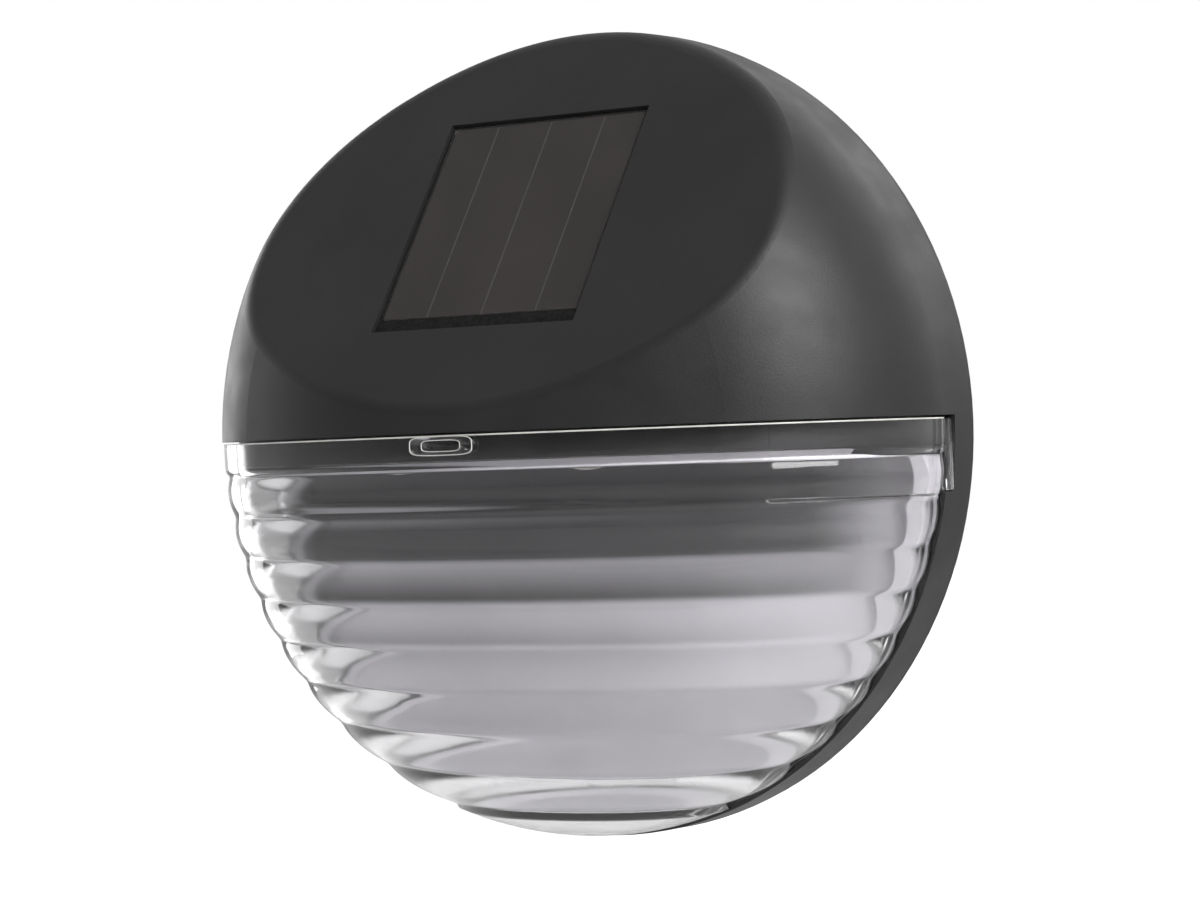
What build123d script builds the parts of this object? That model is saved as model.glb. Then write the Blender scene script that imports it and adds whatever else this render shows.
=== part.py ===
"""Solar fence light: a round lamp that hangs on a screw, with a tilted solar panel over a ribbed lens.

Millimetres. The origin is the middle of the rear face, on the wall. +Z is up, +X is to the right as
seen from the front, and the front faces -Y. A "depth" is a distance in front of the wall, so a point
at depth d lies at y = -d.
"""
import os
from math import atan2, cos, pi, radians, sin, sqrt, tan

from build123d import *

os.makedirs("parts", exist_ok=True)

# ---------------------------------------------------------------- driving dimensions
# dome, which is a solid of revolution about the Y axis
rim_radius = 55.0
dome_depth = 42.0
wall_draft = 1.5            # degrees that the side wall leans in
shoulder_radius = 28.0
crown_radius = 97.0
housing_wall = 2.2

# facet that carries the solar panel
facet_tilt = 35.4           # degrees back from the vertical
facet_depth = 23.6          # middle of the panel
facet_drop = 25.5           # of the panel's middle, from the rim's top
facet_fillet = 3.0

# skirt ring and the line where the lens meets the housing
cover_rim = 1.5             # part of the rear cover that shows behind the skirt
skirt_front = 7.4
skirt_wall = 2.0
split_height = 0.7

# lens
lens_gap = 0.3              # dark line between the lens and the housing
lens_inset = 0.25
lens_wall = 1.8
lip_drop = 4.5              # plain band above the first rib
rib_pitch = 5.73
rib_depth = 0.45
foot_height = 4.6           # plain bowl under the last rib
rib_steps = 4               # straight bands that make up one rib
slice_steps = 6             # points on each half of a level slice's curve
lug_height = 9.4
lug_length = 1.5
tongue_wall = 0.9
tongue_length = 1.4
catch_width = 10.0
catch_height = 2.6
catch_rise = 0.15
catch_pocket = 0.5
catch_drop = 1.65           # of its middle, below the lens's top edge
pad_rise = 0.2              # of the thicker pad inside each end
pad_front = 30.0            # depth that the pads reach

# floor of the housing, which carries the lamps
floor_thickness = 2.0
floor_drop = 3.3            # of its underside, below the lens's top edge
floor_lip_wall = 1.8
fit_gap = 0.3               # clearance between pieces that nest
lap = 1.0                   # how far cutting tools and joined solids run past a face

# reflector tray
tray_gap = 0.9              # from the lens to the rim
tray_rim_width = 1.8
tray_rim_front = 8.4
tray_back_top = 2.9
tray_back_middle = 6.0
tray_back_bottom = 6.4
tray_sheet = 1.2
tray_corner = 4.0
hoop_height = 1.5
hoop_root = 1.4             # overlap of the hoop with the tray's wall
hoop_step = 0.15            # hoop set in from both sides of that wall
tray_lift = 0.1

# solar panel
panel_width = 31.2
panel_length = 32.6
panel_margin = 0.3
panel_drain = 2.3           # wide band of compound at the lower edge
panel_sink = 0.6
resin_thickness = 0.8
cell_thickness = 0.3
backing_thickness = 1.0
cell_count = 4
cell_pitch = 8.55
cell_shift = 0.4            # of the middle line from the panel's middle
cell_gap = 0.14
cell_border = 0.3
panel_floor = 1.2
wire_hole_radius = 2.6
wire_hole_drop = 8.0

# lamps and circuit board
led_spacing = 29.5
led_depth = 30.0
led_radius = 2.5
led_flange_radius = 2.9
led_flange = 1.0
led_length = 8.6
led_tip_height = -6.0
led_hole_gap = 0.15
holder_wall = 1.5
lead_width = 0.5
lead_spread = 1.27
lead_stub = 0.9
cup_drop = 4.6              # from the board to the lead frame's end in the lamp
cup_height = 1.4
board_width = 39.0
board_length = 11.0
board_thickness = 1.2
board_setback = 1.0         # of the board's middle, from the lamps
post_radius = 2.5
post_spacing = 11.0
board_screw_radius = 0.95
board_screw_head = 1.8
board_screw_length = 3.0
head_height = 1.2
driver_slot = 0.6           # cross slot of every sunk screw
driver_length = 2.8
driver_depth = 0.6
chip_length = 4.9
chip_width = 3.9
chip_height = 1.4
chip_shift = 2.0            # from the board's middle, forward
leg_height = 0.15
leg_width = 0.4
leg_length = 1.0
leg_pitch = 1.27
choke_x = 10.2
choke_radius = 2.5
choke_height = 5.0
choke_flange = 0.8
choke_groove = 0.7
resistor_radius = 1.1
resistor_length = 6.0

# rear cover
cover_thickness = 2.5
cover_gap = 0.15
cover_ease = 0.3            # chamfer of the edge on the wall
seal_width = 0.9
seal_height = 0.8
boss_radius = 3.2
boss_sink = 0.4             # how far a boss runs into the skirt
boss_depth = 5.8
upper_boss_depth = 12.0
cover_screw_angles = (30, 150, 270)
cover_screw_radius = 1.1
cover_screw_head = 2.3
cover_screw_sink = 1.5
cover_screw_length = 4.2
screw_gap = 0.15
pilot_gap = 0.05

# keyhole for a 4 mm wall screw
keyhole_radius = 4.5
keyhole_drop = 18.5         # of its entry, from the rim's top
slot_width = 4.6
slot_rise = 6.5
pocket_gap = 2.2
pocket_room = 3.2
pocket_wall = 1.0

# battery, size AA, and its bay
cell_radius = 7.1
battery_length = 50.5
nub_length = 1.1
nub_radius = 2.75
washer_thickness = 0.3
washer_step = 0.6
can_round = 0.5
battery_height = 12.0
battery_depth = 9.9
bay_gap = 0.6
spring_room = 6.1           # from the cell's end to the sheet behind the spring
bay_wall = 1.2
bay_corner = 2.0
contact_sheet = 0.4
contact_width = 9.0
contact_depth = 11.0
contact_gap = 0.1
dimple_radius = 2.4
dimple_height = 0.5
spring_wire = 0.35          # radius
spring_bed = 0.15           # sunk into the sheet that it is welded to
spring_bend = 0.75          # radius of the bend from the foot into the first turn
spring_base_radius = 4.6
spring_tip_radius = 2.9
spring_turns = 3
spring_checks = 48          # points a turn at which its gap is measured

# battery door
door_margin = 2.3           # beyond the bay, above and below
door_screw_offset = 4.5     # from the bay's end to a screw
door_edge = 4.5             # from a screw to the door's end
door_thickness = 1.8
door_sink = 0.2
door_gap = 0.2
door_corner = 3.0
door_seal_thickness = 0.6
door_seal_width = 1.4
ledge_thickness = 1.6
door_screw_radius = 1.1
door_screw_head = 2.2
door_screw_length = 6.4
door_head_sink = 1.25
door_boss_depth = 9.5

# slide switch
switch_x = 20.0
switch_height = 31.0
switch_length = 10.0
switch_width = 5.4
switch_ears = 19.0
switch_sheet = 0.5
switch_can_depth = 3.2
switch_base_thickness = 0.8
knob_length = 2.4
knob_width = 2.0
knob_sink = 0.6
knob_gap = 0.25
knob_groove = 0.3
knob_groove_pitch = 0.8
slide_gap = 0.1
slider_length = 5.2
slider_height = 1.6
switch_travel = 2.0
ear_hole_radius = 1.1
ear_spacing = 15.0
stake_radius = 0.95
stake_height = 1.3
pin_radius = 0.4
pin_length = 2.4
pin_pitch = 2.5

# wires
wire_radius = 0.6
bend_share = 0.45           # of the shorter run beside a bend
wire_exit_shift = 3.0       # from the battery's axis, forward
panel_wire_spread = 1.1
panel_wire_out = 4.5
panel_wire_edge = 1.6
panel_wire_belly = 2.0
panel_wire_drop = 4.5
battery_wire_out = 4.0
battery_wire_edge = 1.4
battery_wire_rise = 5.0
switch_wire_out = 5.0
switch_wire_clear = 2.4
switch_wire_fall = 6.5
switch_wire_drop = 7.0
switch_wire_pitch = 3.2

# ---------------------------------------------------------------- shared places, worked out
tilt = radians(facet_tilt)
draft = radians(wall_draft)
crown_centre = dome_depth - crown_radius
facet_height = rim_radius - facet_drop
facet_plane = Plane(
    origin=(0, -facet_depth, facet_height),
    x_dir=(1, 0, 0),
    z_dir=(0, -cos(tilt), sin(tilt)),
)
lens_top = split_height - lens_gap
ribs_top = lens_top - lip_drop
rib_count = int((rim_radius - foot_height + ribs_top) / rib_pitch)
ribs_bottom = ribs_top - rib_count * rib_pitch
lens_inside = lens_inset + lens_wall
floor_inset = lens_inside + fit_gap
floor_bottom = lens_top - floor_drop
floor_top = floor_bottom + floor_thickness
skirt_inner = rim_radius - skirt_wall
boss_ring = skirt_inner - boss_radius + boss_sink
keyhole_height = rim_radius - keyhole_drop
led_places = (-led_spacing / 2, led_spacing / 2)
led_top = led_tip_height + led_length
board_top = led_top + board_thickness
board_middle_depth = led_depth - board_setback
chip_depth = board_middle_depth + chip_shift
recess_depth = panel_sink + resin_thickness + cell_thickness + backing_thickness
recess_width = panel_width + 2 * panel_margin
recess_length = panel_length + panel_margin + panel_drain
recess_shift = (panel_margin - panel_drain) / 2
bay_front = battery_depth + cell_radius + fit_gap
bay_height = 2 * (cell_radius + bay_gap)
bay_length = battery_length + spring_room + contact_gap + dimple_height + 2 * contact_sheet
door_screw_spacing = bay_length + 2 * door_screw_offset
door_length = door_screw_spacing + 2 * door_edge
door_height = bay_height + 2 * door_margin
door_recess = door_sink + door_thickness + door_seal_thickness
far = 2 * rim_radius        # longer than the light, for cutting tools


# ---------------------------------------------------------------- shape of the dome
def shoulder_centre():
    """Depth and radius of the middle of the shoulder arc, tangent to the wall and to the crown."""
    lean = tan(draft)
    reach = rim_radius - shoulder_radius / cos(draft)
    a = 1 + lean**2
    b = crown_centre + reach * lean
    c = crown_centre**2 + reach**2 - (crown_radius - shoulder_radius) ** 2
    depth = (b + sqrt(b**2 - a * c)) / a
    return depth, reach - lean * depth


shoulder_depth, shoulder_height = shoulder_centre()
crown_angle = atan2(shoulder_height, shoulder_depth - crown_centre)


def dome_radius(depth, inset):
    """Radius of the dome's skin at a depth, for a skin that lies inset inside the outer one."""
    arc = shoulder_radius - inset
    crown = crown_radius - inset
    if depth < shoulder_depth + arc * sin(draft):
        return rim_radius - inset / cos(draft) - depth * tan(draft)
    if depth < crown_centre + crown * cos(crown_angle):
        return shoulder_height + sqrt(arc**2 - (depth - shoulder_depth) ** 2)
    return sqrt(crown**2 - (depth - crown_centre) ** 2)


def dome_reach(radius, inset):
    """Depth of the same skin at a radius."""
    arc = shoulder_radius - inset
    crown = crown_radius - inset
    if radius < crown * sin(crown_angle):
        return crown_centre + sqrt(crown**2 - radius**2)
    return shoulder_depth + sqrt(arc**2 - (radius - shoulder_height) ** 2)


def dome_solid(back, inset):
    """The dome from a depth to its crown, as a solid of revolution."""
    arc = shoulder_radius - inset
    crown = crown_radius - inset
    middle = (pi / 2 - draft + crown_angle) / 2

    def on_arc(angle):
        return (-shoulder_depth - arc * cos(angle), shoulder_height + arc * sin(angle))

    def on_crown(angle):
        return (-crown_centre - crown * cos(angle), crown * sin(angle))

    with BuildPart() as dome:
        with BuildSketch(Plane.YZ):
            with BuildLine():
                Line((-back, 0), (-back, dome_radius(back, inset)))
                Line((-back, dome_radius(back, inset)), on_arc(pi / 2 - draft))
                ThreePointArc(on_arc(pi / 2 - draft), on_arc(middle), on_arc(crown_angle))
                ThreePointArc(on_crown(crown_angle), on_crown(crown_angle / 2), on_crown(0))
                Line(on_crown(0), (-back, 0))
            make_face()
        revolve(axis=Axis.Y)
    return dome.part


def slab(low, high):
    """Level slab between two heights, larger than the light."""
    with BuildPart() as block:
        with BuildSketch(Plane.XY.offset(low)):
            Rectangle(2 * far, 2 * far)
        extrude(amount=high - low)
    return block.part


def ring(outer, inner, back, front):
    """Plain ring about the Y axis between two depths."""
    with BuildPart() as hoop:
        with BuildSketch(Plane.XZ.offset(back)):
            Circle(outer)
            Circle(inner, mode=Mode.SUBTRACT)
        extrude(amount=front - back)
    return hoop.part


def disc(radius, back, front, x=0, z=0):
    """Round block along the Y axis between two depths."""
    with BuildPart() as block:
        with BuildSketch(Plane.XZ.offset(back)):
            with Locations((x, z)):
                Circle(radius)
        extrude(amount=front - back)
    return block.part


def tray(length, width, high, low, y=0):
    """Block sunk into the facet between two distances below its surface."""
    with BuildPart() as block:
        with BuildSketch(facet_plane.offset(-low)):
            with Locations((0, y)):
                Rectangle(length, width)
        extrude(amount=low - high)
    return block.part


def polar(radius, angle):
    """Place on a circle round the middle of the cover, as x and z."""
    return radius * cos(radians(angle)), radius * sin(radians(angle))


def save(builder, label):
    """Name a finished piece and write it."""
    builder.part.label = label
    export_step(builder.part, f"parts/{label}.step")


# ---------------------------------------------------------------- housing
# The hollow behind the facet is open to the rear. Its lower end is set in, so that a lip is left
# under the split line, which the top of the lens overlaps.
below_split = slab(-far, split_height)
below_floor = slab(-far, floor_bottom)
front_space = disc(far, skirt_front, far)
skirt_bore = disc(skirt_inner, -lap, far)
cover_seat = disc(skirt_inner, -lap, cover_thickness)
upper_level = slab(split_height + housing_wall / 2, far)
lower_level = slab(floor_top, split_height + housing_wall)
floor_level = slab(floor_bottom, split_height)
full_dome = dome_solid(cover_rim, 0)
room_dome = dome_solid(0, housing_wall)
lip_dome = dome_solid(skirt_front - lap, floor_inset)
lip_room_dome = dome_solid(0, floor_inset + floor_lip_wall)
seal_groove_inner = skirt_inner + (skirt_wall - seal_width) / 2
seal_groove = ring(
    seal_groove_inner + seal_width, seal_groove_inner, cover_rim, cover_rim + seal_height
)
panel_pad = tray(
    recess_width + 2 * panel_floor,
    recess_length + 2 * panel_floor,
    housing_wall / 2,
    recess_depth + panel_floor,
    recess_shift,
)
panel_recess = tray(recess_width, recess_length, -lap, recess_depth, recess_shift)
notch_ring = ring(far, skirt_inner, skirt_front - lug_length - fit_gap / 2, far)
notch_level = slab(split_height - lens_gap - lug_height - fit_gap / 2, split_height)

with BuildPart() as front_below:
    add(front_space)
    add(below_split, mode=Mode.INTERSECT)

with BuildPart() as bore_below:
    add(skirt_bore)
    add(below_floor, mode=Mode.INTERSECT)

with BuildPart() as lug_notches:
    add(notch_ring)
    add(notch_level, mode=Mode.INTERSECT)

with BuildPart() as lens_lip:
    add(lip_dome)
    add(floor_level, mode=Mode.INTERSECT)

with BuildPart() as upper_room:
    add(room_dome)
    split(bisect_by=facet_plane.offset(-housing_wall), keep=Keep.BOTTOM)
    add(upper_level, mode=Mode.INTERSECT)

with BuildPart() as lower_room:
    add(lip_room_dome)
    add(lower_level, mode=Mode.INTERSECT)

with BuildPart() as housing:
    add(full_dome)
    split(bisect_by=facet_plane, keep=Keep.BOTTOM)
    facet = faces().filter_by(lambda f: f.normal_at().dot(facet_plane.z_dir) > 0.999)
    fillet(facet.edges(), radius=facet_fillet)
    for tool in (front_below, bore_below):
        add(tool.part, mode=Mode.SUBTRACT)
    add(lens_lip.part)
    for tool in (upper_room, lower_room):
        add(tool.part, mode=Mode.SUBTRACT)
    add(cover_seat, mode=Mode.SUBTRACT)
    add(seal_groove, mode=Mode.SUBTRACT)
    add(lug_notches.part, mode=Mode.SUBTRACT)
    # thick pad behind the facet, with the recess for the panel and a hole for its wires
    add(panel_pad)
    add(panel_recess, mode=Mode.SUBTRACT)
    with BuildSketch(facet_plane):
        with Locations((0, -wire_hole_drop)):
            Circle(wire_hole_radius)
    extrude(amount=-recess_depth - 2 * panel_floor, mode=Mode.SUBTRACT)
    # screw bosses for the rear cover: the lower one stands on the skirt
    for angle in cover_screw_angles:
        x, z = polar(boss_ring, angle)
        front = upper_boss_depth if z > 0 else boss_depth
        with BuildSketch(Plane.XZ.offset(cover_thickness)):
            with Locations((x, z)):
                Circle(boss_radius)
        extrude(amount=front - cover_thickness)
        with BuildSketch(Plane.XZ.offset(cover_thickness)):
            with Locations((x, z)):
                Circle(cover_screw_radius + pilot_gap)
        extrude(amount=cover_screw_length, mode=Mode.SUBTRACT)
    # tubular holders for the two lamps and posts for the circuit board
    with BuildSketch(Plane.XY.offset(floor_bottom)):
        with Locations(*[(x, -led_depth) for x in led_places]):
            Circle(led_radius + led_hole_gap + holder_wall)
    extrude(amount=led_top - led_flange - floor_bottom)
    with BuildSketch(Plane.XY.offset(floor_bottom)):
        with Locations(*[(x, -led_depth) for x in led_places]):
            Circle(led_radius + led_hole_gap)
    extrude(amount=led_top - led_flange - floor_bottom, mode=Mode.SUBTRACT)
    with BuildSketch(Plane.XY.offset(floor_top)):
        with Locations(*[(x, -board_middle_depth) for x in (-post_spacing / 2, post_spacing / 2)]):
            Circle(post_radius)
            Circle(board_screw_radius + pilot_gap, mode=Mode.SUBTRACT)
    extrude(amount=led_top - floor_top)
save(housing, "housing")


# ---------------------------------------------------------------- lens
def rib_inset(height):
    """How far the ribbed skin lies inside the smooth one at a height: a row of shallow arcs."""
    turn = (ribs_top - height) / rib_pitch
    return lens_inset + rib_depth * (2 * (turn - int(turn)) - 1) ** 2


def lens_slice(height, inset):
    """Level slice of the lens, from its flat back to the curve of its front."""
    reach = dome_reach(abs(height), inset) - skirt_front
    front = []
    for step in range(-slice_steps, slice_steps + 1):
        depth = skirt_front + reach * cos(step / slice_steps * pi / 2)
        half = sqrt(max(dome_radius(depth, inset) ** 2 - height**2, 0))
        front.append((half if step > 0 else -half, -depth))
    with BuildSketch(Plane.XY.offset(height)) as outline:
        with BuildLine():
            Spline(*front)
            Line(front[-1], front[0])
        make_face()
    return outline.sketch


lip_slices = [(lens_top, lens_inset), (ribs_top + rib_depth, lens_inset)]
rib_heights = [ribs_top - step * rib_pitch / rib_steps for step in range(rib_steps * rib_count + 1)]
rib_slices = [(height, rib_inset(height)) for height in rib_heights]
slices = [lens_slice(height, inset) for height, inset in lip_slices + rib_slices]
lens_foot = dome_solid(skirt_front, lens_inset)
foot_level = slab(-far, ribs_bottom)
lens_room = dome_solid(0, lens_inside)
tongue_inner = skirt_inner - fit_gap / 2 - tongue_wall
tongue = ring(skirt_inner - fit_gap / 2, tongue_inner, skirt_front - tongue_length, skirt_front)
tongue_root = ring(dome_radius(skirt_front, lens_inset), tongue_inner, skirt_front, tray_rim_front)
tongue_level = slab(-far, lens_top - lug_height - fit_gap)
lug_ring = ring(
    dome_radius(skirt_front, lens_inset),
    skirt_inner + fit_gap / 2,
    skirt_front - lug_length,
    skirt_front,
)
lug_level = slab(lens_top - lug_height, lens_top)

with BuildPart() as foot:
    add(lens_foot)
    add(foot_level, mode=Mode.INTERSECT)

with BuildPart() as lens_tongue:
    add(tongue)
    add(tongue_root)
    add(tongue_level, mode=Mode.INTERSECT)

with BuildPart() as lens_lugs:
    add(lug_ring)
    add(lug_level, mode=Mode.INTERSECT)

pad_dome = dome_solid(skirt_front, lens_inset + lens_wall / 2)
pad_room = dome_solid(0, lens_inside + pad_rise)
pad_reach = disc(far, skirt_front, pad_front)
catch_level = lens_top - catch_drop

with BuildPart() as lens_pads:
    add(pad_dome)
    add(pad_room, mode=Mode.SUBTRACT)
    add(pad_reach, mode=Mode.INTERSECT)
    add(lug_level, mode=Mode.INTERSECT)

with BuildPart() as lens:
    loft(slices, ruled=True)
    add(foot.part)
    add(lens_room, mode=Mode.SUBTRACT)
    add(lens_tongue.part)
    add(lens_lugs.part)
    # catch in the middle of the lip, an oval pad with a pocket in it
    with BuildSketch(Plane.XZ.offset(dome_depth - lens_inside)):
        with Locations((0, catch_level)):
            SlotOverall(catch_width, catch_height)
    extrude(amount=lens_wall + catch_rise)
    with BuildSketch(Plane.XZ.offset(dome_depth - lens_inset + catch_rise)):
        with Locations((0, catch_level)):
            Rectangle(catch_width / 2, catch_height / 2)
    extrude(amount=-catch_pocket, mode=Mode.SUBTRACT)
    add(lens_pads.part)
save(lens, "lens")


# ---------------------------------------------------------------- reflector
# One tray: a bowed sheet, a D-shaped wall round it, and a hoop that follows the lens along the top
tray_inset = lens_inside + tray_gap
tray_top = floor_bottom - tray_lift
tray_radius = dome_radius(tray_rim_front, tray_inset)


def tray_outline(back, front, inset):
    """D-shaped prism with round corners between two depths, set in from the tray's edge."""
    with BuildPart() as prism:
        with BuildSketch(Plane.XZ.offset(back)) as outline:
            Circle(tray_radius - inset)
            with Locations((0, tray_top - inset)):
                Rectangle(far, far, align=(Align.CENTER, Align.MIN), mode=Mode.SUBTRACT)
            fillet(outline.vertices(), radius=tray_corner - inset)
        extrude(amount=front - back)
    return prism.part


def bowed_space(shift):
    """Everything in front of the bowed sheet, which is shifted forward by a thickness."""
    high = tray_top + lap
    low = -tray_radius - lap
    top = (-tray_back_top - shift, high)
    middle = (-tray_back_middle - shift, (high + low) / 2)
    bottom = (-tray_back_bottom - shift, low)
    with BuildPart() as space:
        with BuildSketch(Plane.YZ.offset(-far)):
            with BuildLine():
                ThreePointArc(top, middle, bottom)
                Polyline(bottom, (-far, low), (-far, high), top)
            make_face()
        extrude(amount=2 * far)
    return space.part


tray_block = tray_outline(0, tray_rim_front, 0)
tray_hollow = tray_outline(0, far, tray_rim_width)
tray_front = bowed_space(0)
sheet_front = bowed_space(tray_sheet)
tray_forward = tray_outline(0, far, 0)
hoop_dome = dome_solid(tray_rim_front - hoop_root, tray_inset + hoop_step)
hoop_room = dome_solid(0, tray_inset + tray_rim_width - hoop_step)
hoop_level = slab(tray_top - hoop_height, tray_top)

with BuildPart() as bowl:
    add(tray_hollow)
    add(sheet_front, mode=Mode.INTERSECT)

with BuildPart() as hoop:
    add(hoop_dome)
    add(hoop_room, mode=Mode.SUBTRACT)
    add(hoop_level, mode=Mode.INTERSECT)
    add(tray_forward, mode=Mode.INTERSECT)

with BuildPart() as reflector:
    add(tray_block)
    add(tray_front, mode=Mode.INTERSECT)
    add(bowl.part, mode=Mode.SUBTRACT)
    add(hoop.part)
save(reflector, "reflector")

# ---------------------------------------------------------------- solar panel
cell_top = panel_sink + resin_thickness
cell_bottom = cell_top + cell_thickness

with BuildPart() as solar_cells:
    with BuildSketch(facet_plane.offset(-cell_bottom)):
        Rectangle(panel_width - 2 * cell_border, panel_length - 2 * cell_border)
        with Locations((cell_shift, 0)):
            with GridLocations(cell_pitch, 0, cell_count - 1, 1):
                Rectangle(cell_gap, panel_length, mode=Mode.SUBTRACT)
    extrude(amount=cell_thickness)
save(solar_cells, "solar_cells")

with BuildPart() as solar_resin:
    with BuildSketch(facet_plane.offset(-cell_bottom)):
        Rectangle(panel_width, panel_length)
    extrude(amount=resin_thickness + cell_thickness)
    add(solar_cells.part, mode=Mode.SUBTRACT)
save(solar_resin, "solar_resin")

with BuildPart() as solar_backing:
    with BuildSketch(facet_plane.offset(-recess_depth)):
        Rectangle(panel_width, panel_length)
    extrude(amount=backing_thickness)
save(solar_backing, "solar_backing")

with BuildPart() as panel_sealant:
    with BuildSketch(facet_plane.offset(-recess_depth)):
        with Locations((0, recess_shift)):
            Rectangle(recess_width, recess_length)
        Rectangle(panel_width, panel_length, mode=Mode.SUBTRACT)
    extrude(amount=recess_depth - panel_sink)
save(panel_sealant, "panel_sealant")


# ---------------------------------------------------------------- lamps
def lamp_leads(x):
    """The two legs of a lamp, which start as the frame inside its clear body."""
    with BuildPart() as leads:
        with BuildSketch(Plane.XY.offset(led_top - cup_drop)):
            with Locations((x, -led_depth)):
                with GridLocations(2 * lead_spread, 0, 2, 1):
                    Rectangle(lead_width, lead_width)
        extrude(amount=cup_drop + board_thickness + lead_stub)
        # the wide post of the frame, which holds the chip
        with BuildSketch(Plane.XY.offset(led_top - cup_drop)):
            with Locations((x - lead_spread / 2, -led_depth)):
                Rectangle(lead_spread + lead_width, 2 * lead_width)
        extrude(amount=cup_height)
    return leads.part


def lamp_body(x, leads):
    """Clear body: a flange, a barrel and a round nose that points down."""
    nose = led_tip_height + led_radius
    with BuildPart() as body:
        with BuildSketch(Plane.XZ.offset(led_depth)):
            with BuildLine():
                Polyline(
                    (x, led_tip_height),
                    (x, led_top),
                    (x + led_flange_radius, led_top),
                    (x + led_flange_radius, led_top - led_flange),
                    (x + led_radius, led_top - led_flange),
                    (x + led_radius, nose),
                )
                RadiusArc((x + led_radius, nose), (x, led_tip_height), led_radius)
            make_face()
        revolve(axis=Axis((x, -led_depth, 0), (0, 0, 1)))
        add(leads, mode=Mode.SUBTRACT)
    return body.part


left_leads, right_leads = [lamp_leads(x) for x in led_places]
left_lamp, right_lamp = lamp_body(led_places[0], left_leads), lamp_body(led_places[1], right_leads)
for label, piece in (
    ("led_left", left_lamp),
    ("led_right", right_lamp),
    ("led_leads_left", left_leads),
    ("led_leads_right", right_leads),
):
    piece.label = label
    export_step(piece, f"parts/{label}.step")

# ---------------------------------------------------------------- circuit board
board_back = board_middle_depth - board_length / 2
post_places = [(x, -board_middle_depth) for x in (-post_spacing / 2, post_spacing / 2)]

with BuildPart() as circuit_board:
    with BuildSketch(Plane.XY.offset(led_top)):
        with Locations((0, -board_middle_depth)):
            Rectangle(board_width, board_length)
        with Locations(*post_places):
            Circle(board_screw_radius + screw_gap, mode=Mode.SUBTRACT)
        for x in led_places:
            with Locations((x - lead_spread, -led_depth), (x + lead_spread, -led_depth)):
                Rectangle(lead_width, lead_width, mode=Mode.SUBTRACT)
    extrude(amount=board_thickness)
save(circuit_board, "circuit_board")

with BuildPart() as board_screws:
    with BuildSketch(Plane.XY.offset(board_top)):
        with Locations(*post_places):
            Circle(board_screw_head)
    extrude(amount=head_height)
    with BuildSketch(Plane.XY.offset(board_top)):
        with Locations(*post_places):
            Circle(board_screw_radius)
    extrude(amount=-board_screw_length)
save(board_screws, "board_screws")

with BuildPart() as driver_chip:
    with BuildSketch(Plane.XY.offset(board_top + leg_height)):
        with Locations((0, -chip_depth)):
            Rectangle(chip_length, chip_width)
    extrude(amount=chip_height)
    with BuildSketch(Plane.XY.offset(board_top)):
        with Locations((0, -chip_depth)):
            with GridLocations(leg_pitch, 0, 4, 1):
                Rectangle(leg_width, chip_width + 2 * leg_length)
    extrude(amount=2 * leg_height)
save(driver_chip, "driver_chip")

with BuildPart() as choke:
    with BuildSketch(Plane.XY.offset(board_top)):
        with Locations((choke_x, -board_middle_depth)):
            Circle(choke_radius)
    extrude(amount=choke_height)
    with BuildSketch(Plane.XY.offset(board_top + choke_flange)):
        with Locations((choke_x, -board_middle_depth)):
            Circle(choke_radius)
            Circle(choke_radius - choke_groove, mode=Mode.SUBTRACT)
    extrude(amount=choke_height - 2 * choke_flange, mode=Mode.SUBTRACT)
save(choke, "choke")

with BuildPart() as resistor:
    with BuildSketch(Plane.XZ.offset(board_middle_depth - resistor_length / 2)):
        with Locations((-choke_x, board_top + resistor_radius)):
            Circle(resistor_radius)
    extrude(amount=resistor_length)
    with BuildSketch(Plane.XZ.offset(board_middle_depth - resistor_length / 2 - lead_stub)):
        with Locations((-choke_x, board_top + resistor_radius)):
            Circle(lead_width / 2)
    extrude(amount=resistor_length + 2 * lead_stub)
    with BuildSketch(Plane.XY.offset(board_top)):
        with Locations((-choke_x, -board_middle_depth)):
            with GridLocations(0, resistor_length + 2 * lead_stub, 1, 2):
                Rectangle(lead_width, lead_width)
    extrude(amount=resistor_radius + lead_width / 2)
save(resistor, "resistor")


# ---------------------------------------------------------------- rear cover
def keyhole_outline(widen):
    """Round entry with a slot that rises from it, in the current sketch."""
    with Locations((0, keyhole_height)):
        Circle(keyhole_radius + widen)
        Rectangle(slot_width + 2 * widen, slot_rise, align=(Align.CENTER, Align.MIN))
    with Locations((0, keyhole_height + slot_rise)):
        Circle(slot_width / 2 + widen)


cover_radius = dome_radius(cover_rim, cover_gap)
seat_radius = skirt_inner - cover_gap
pocket_front = cover_thickness + pocket_room
door_places = [(x, battery_height) for x in (-door_screw_spacing / 2, door_screw_spacing / 2)]
ear_places = [
    (switch_x - ear_spacing / 2, switch_height),
    (switch_x + ear_spacing / 2, switch_height),
]
screw_places = [polar(boss_ring, angle) for angle in cover_screw_angles]
wire_exit_depth = battery_depth + wire_exit_shift

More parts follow.
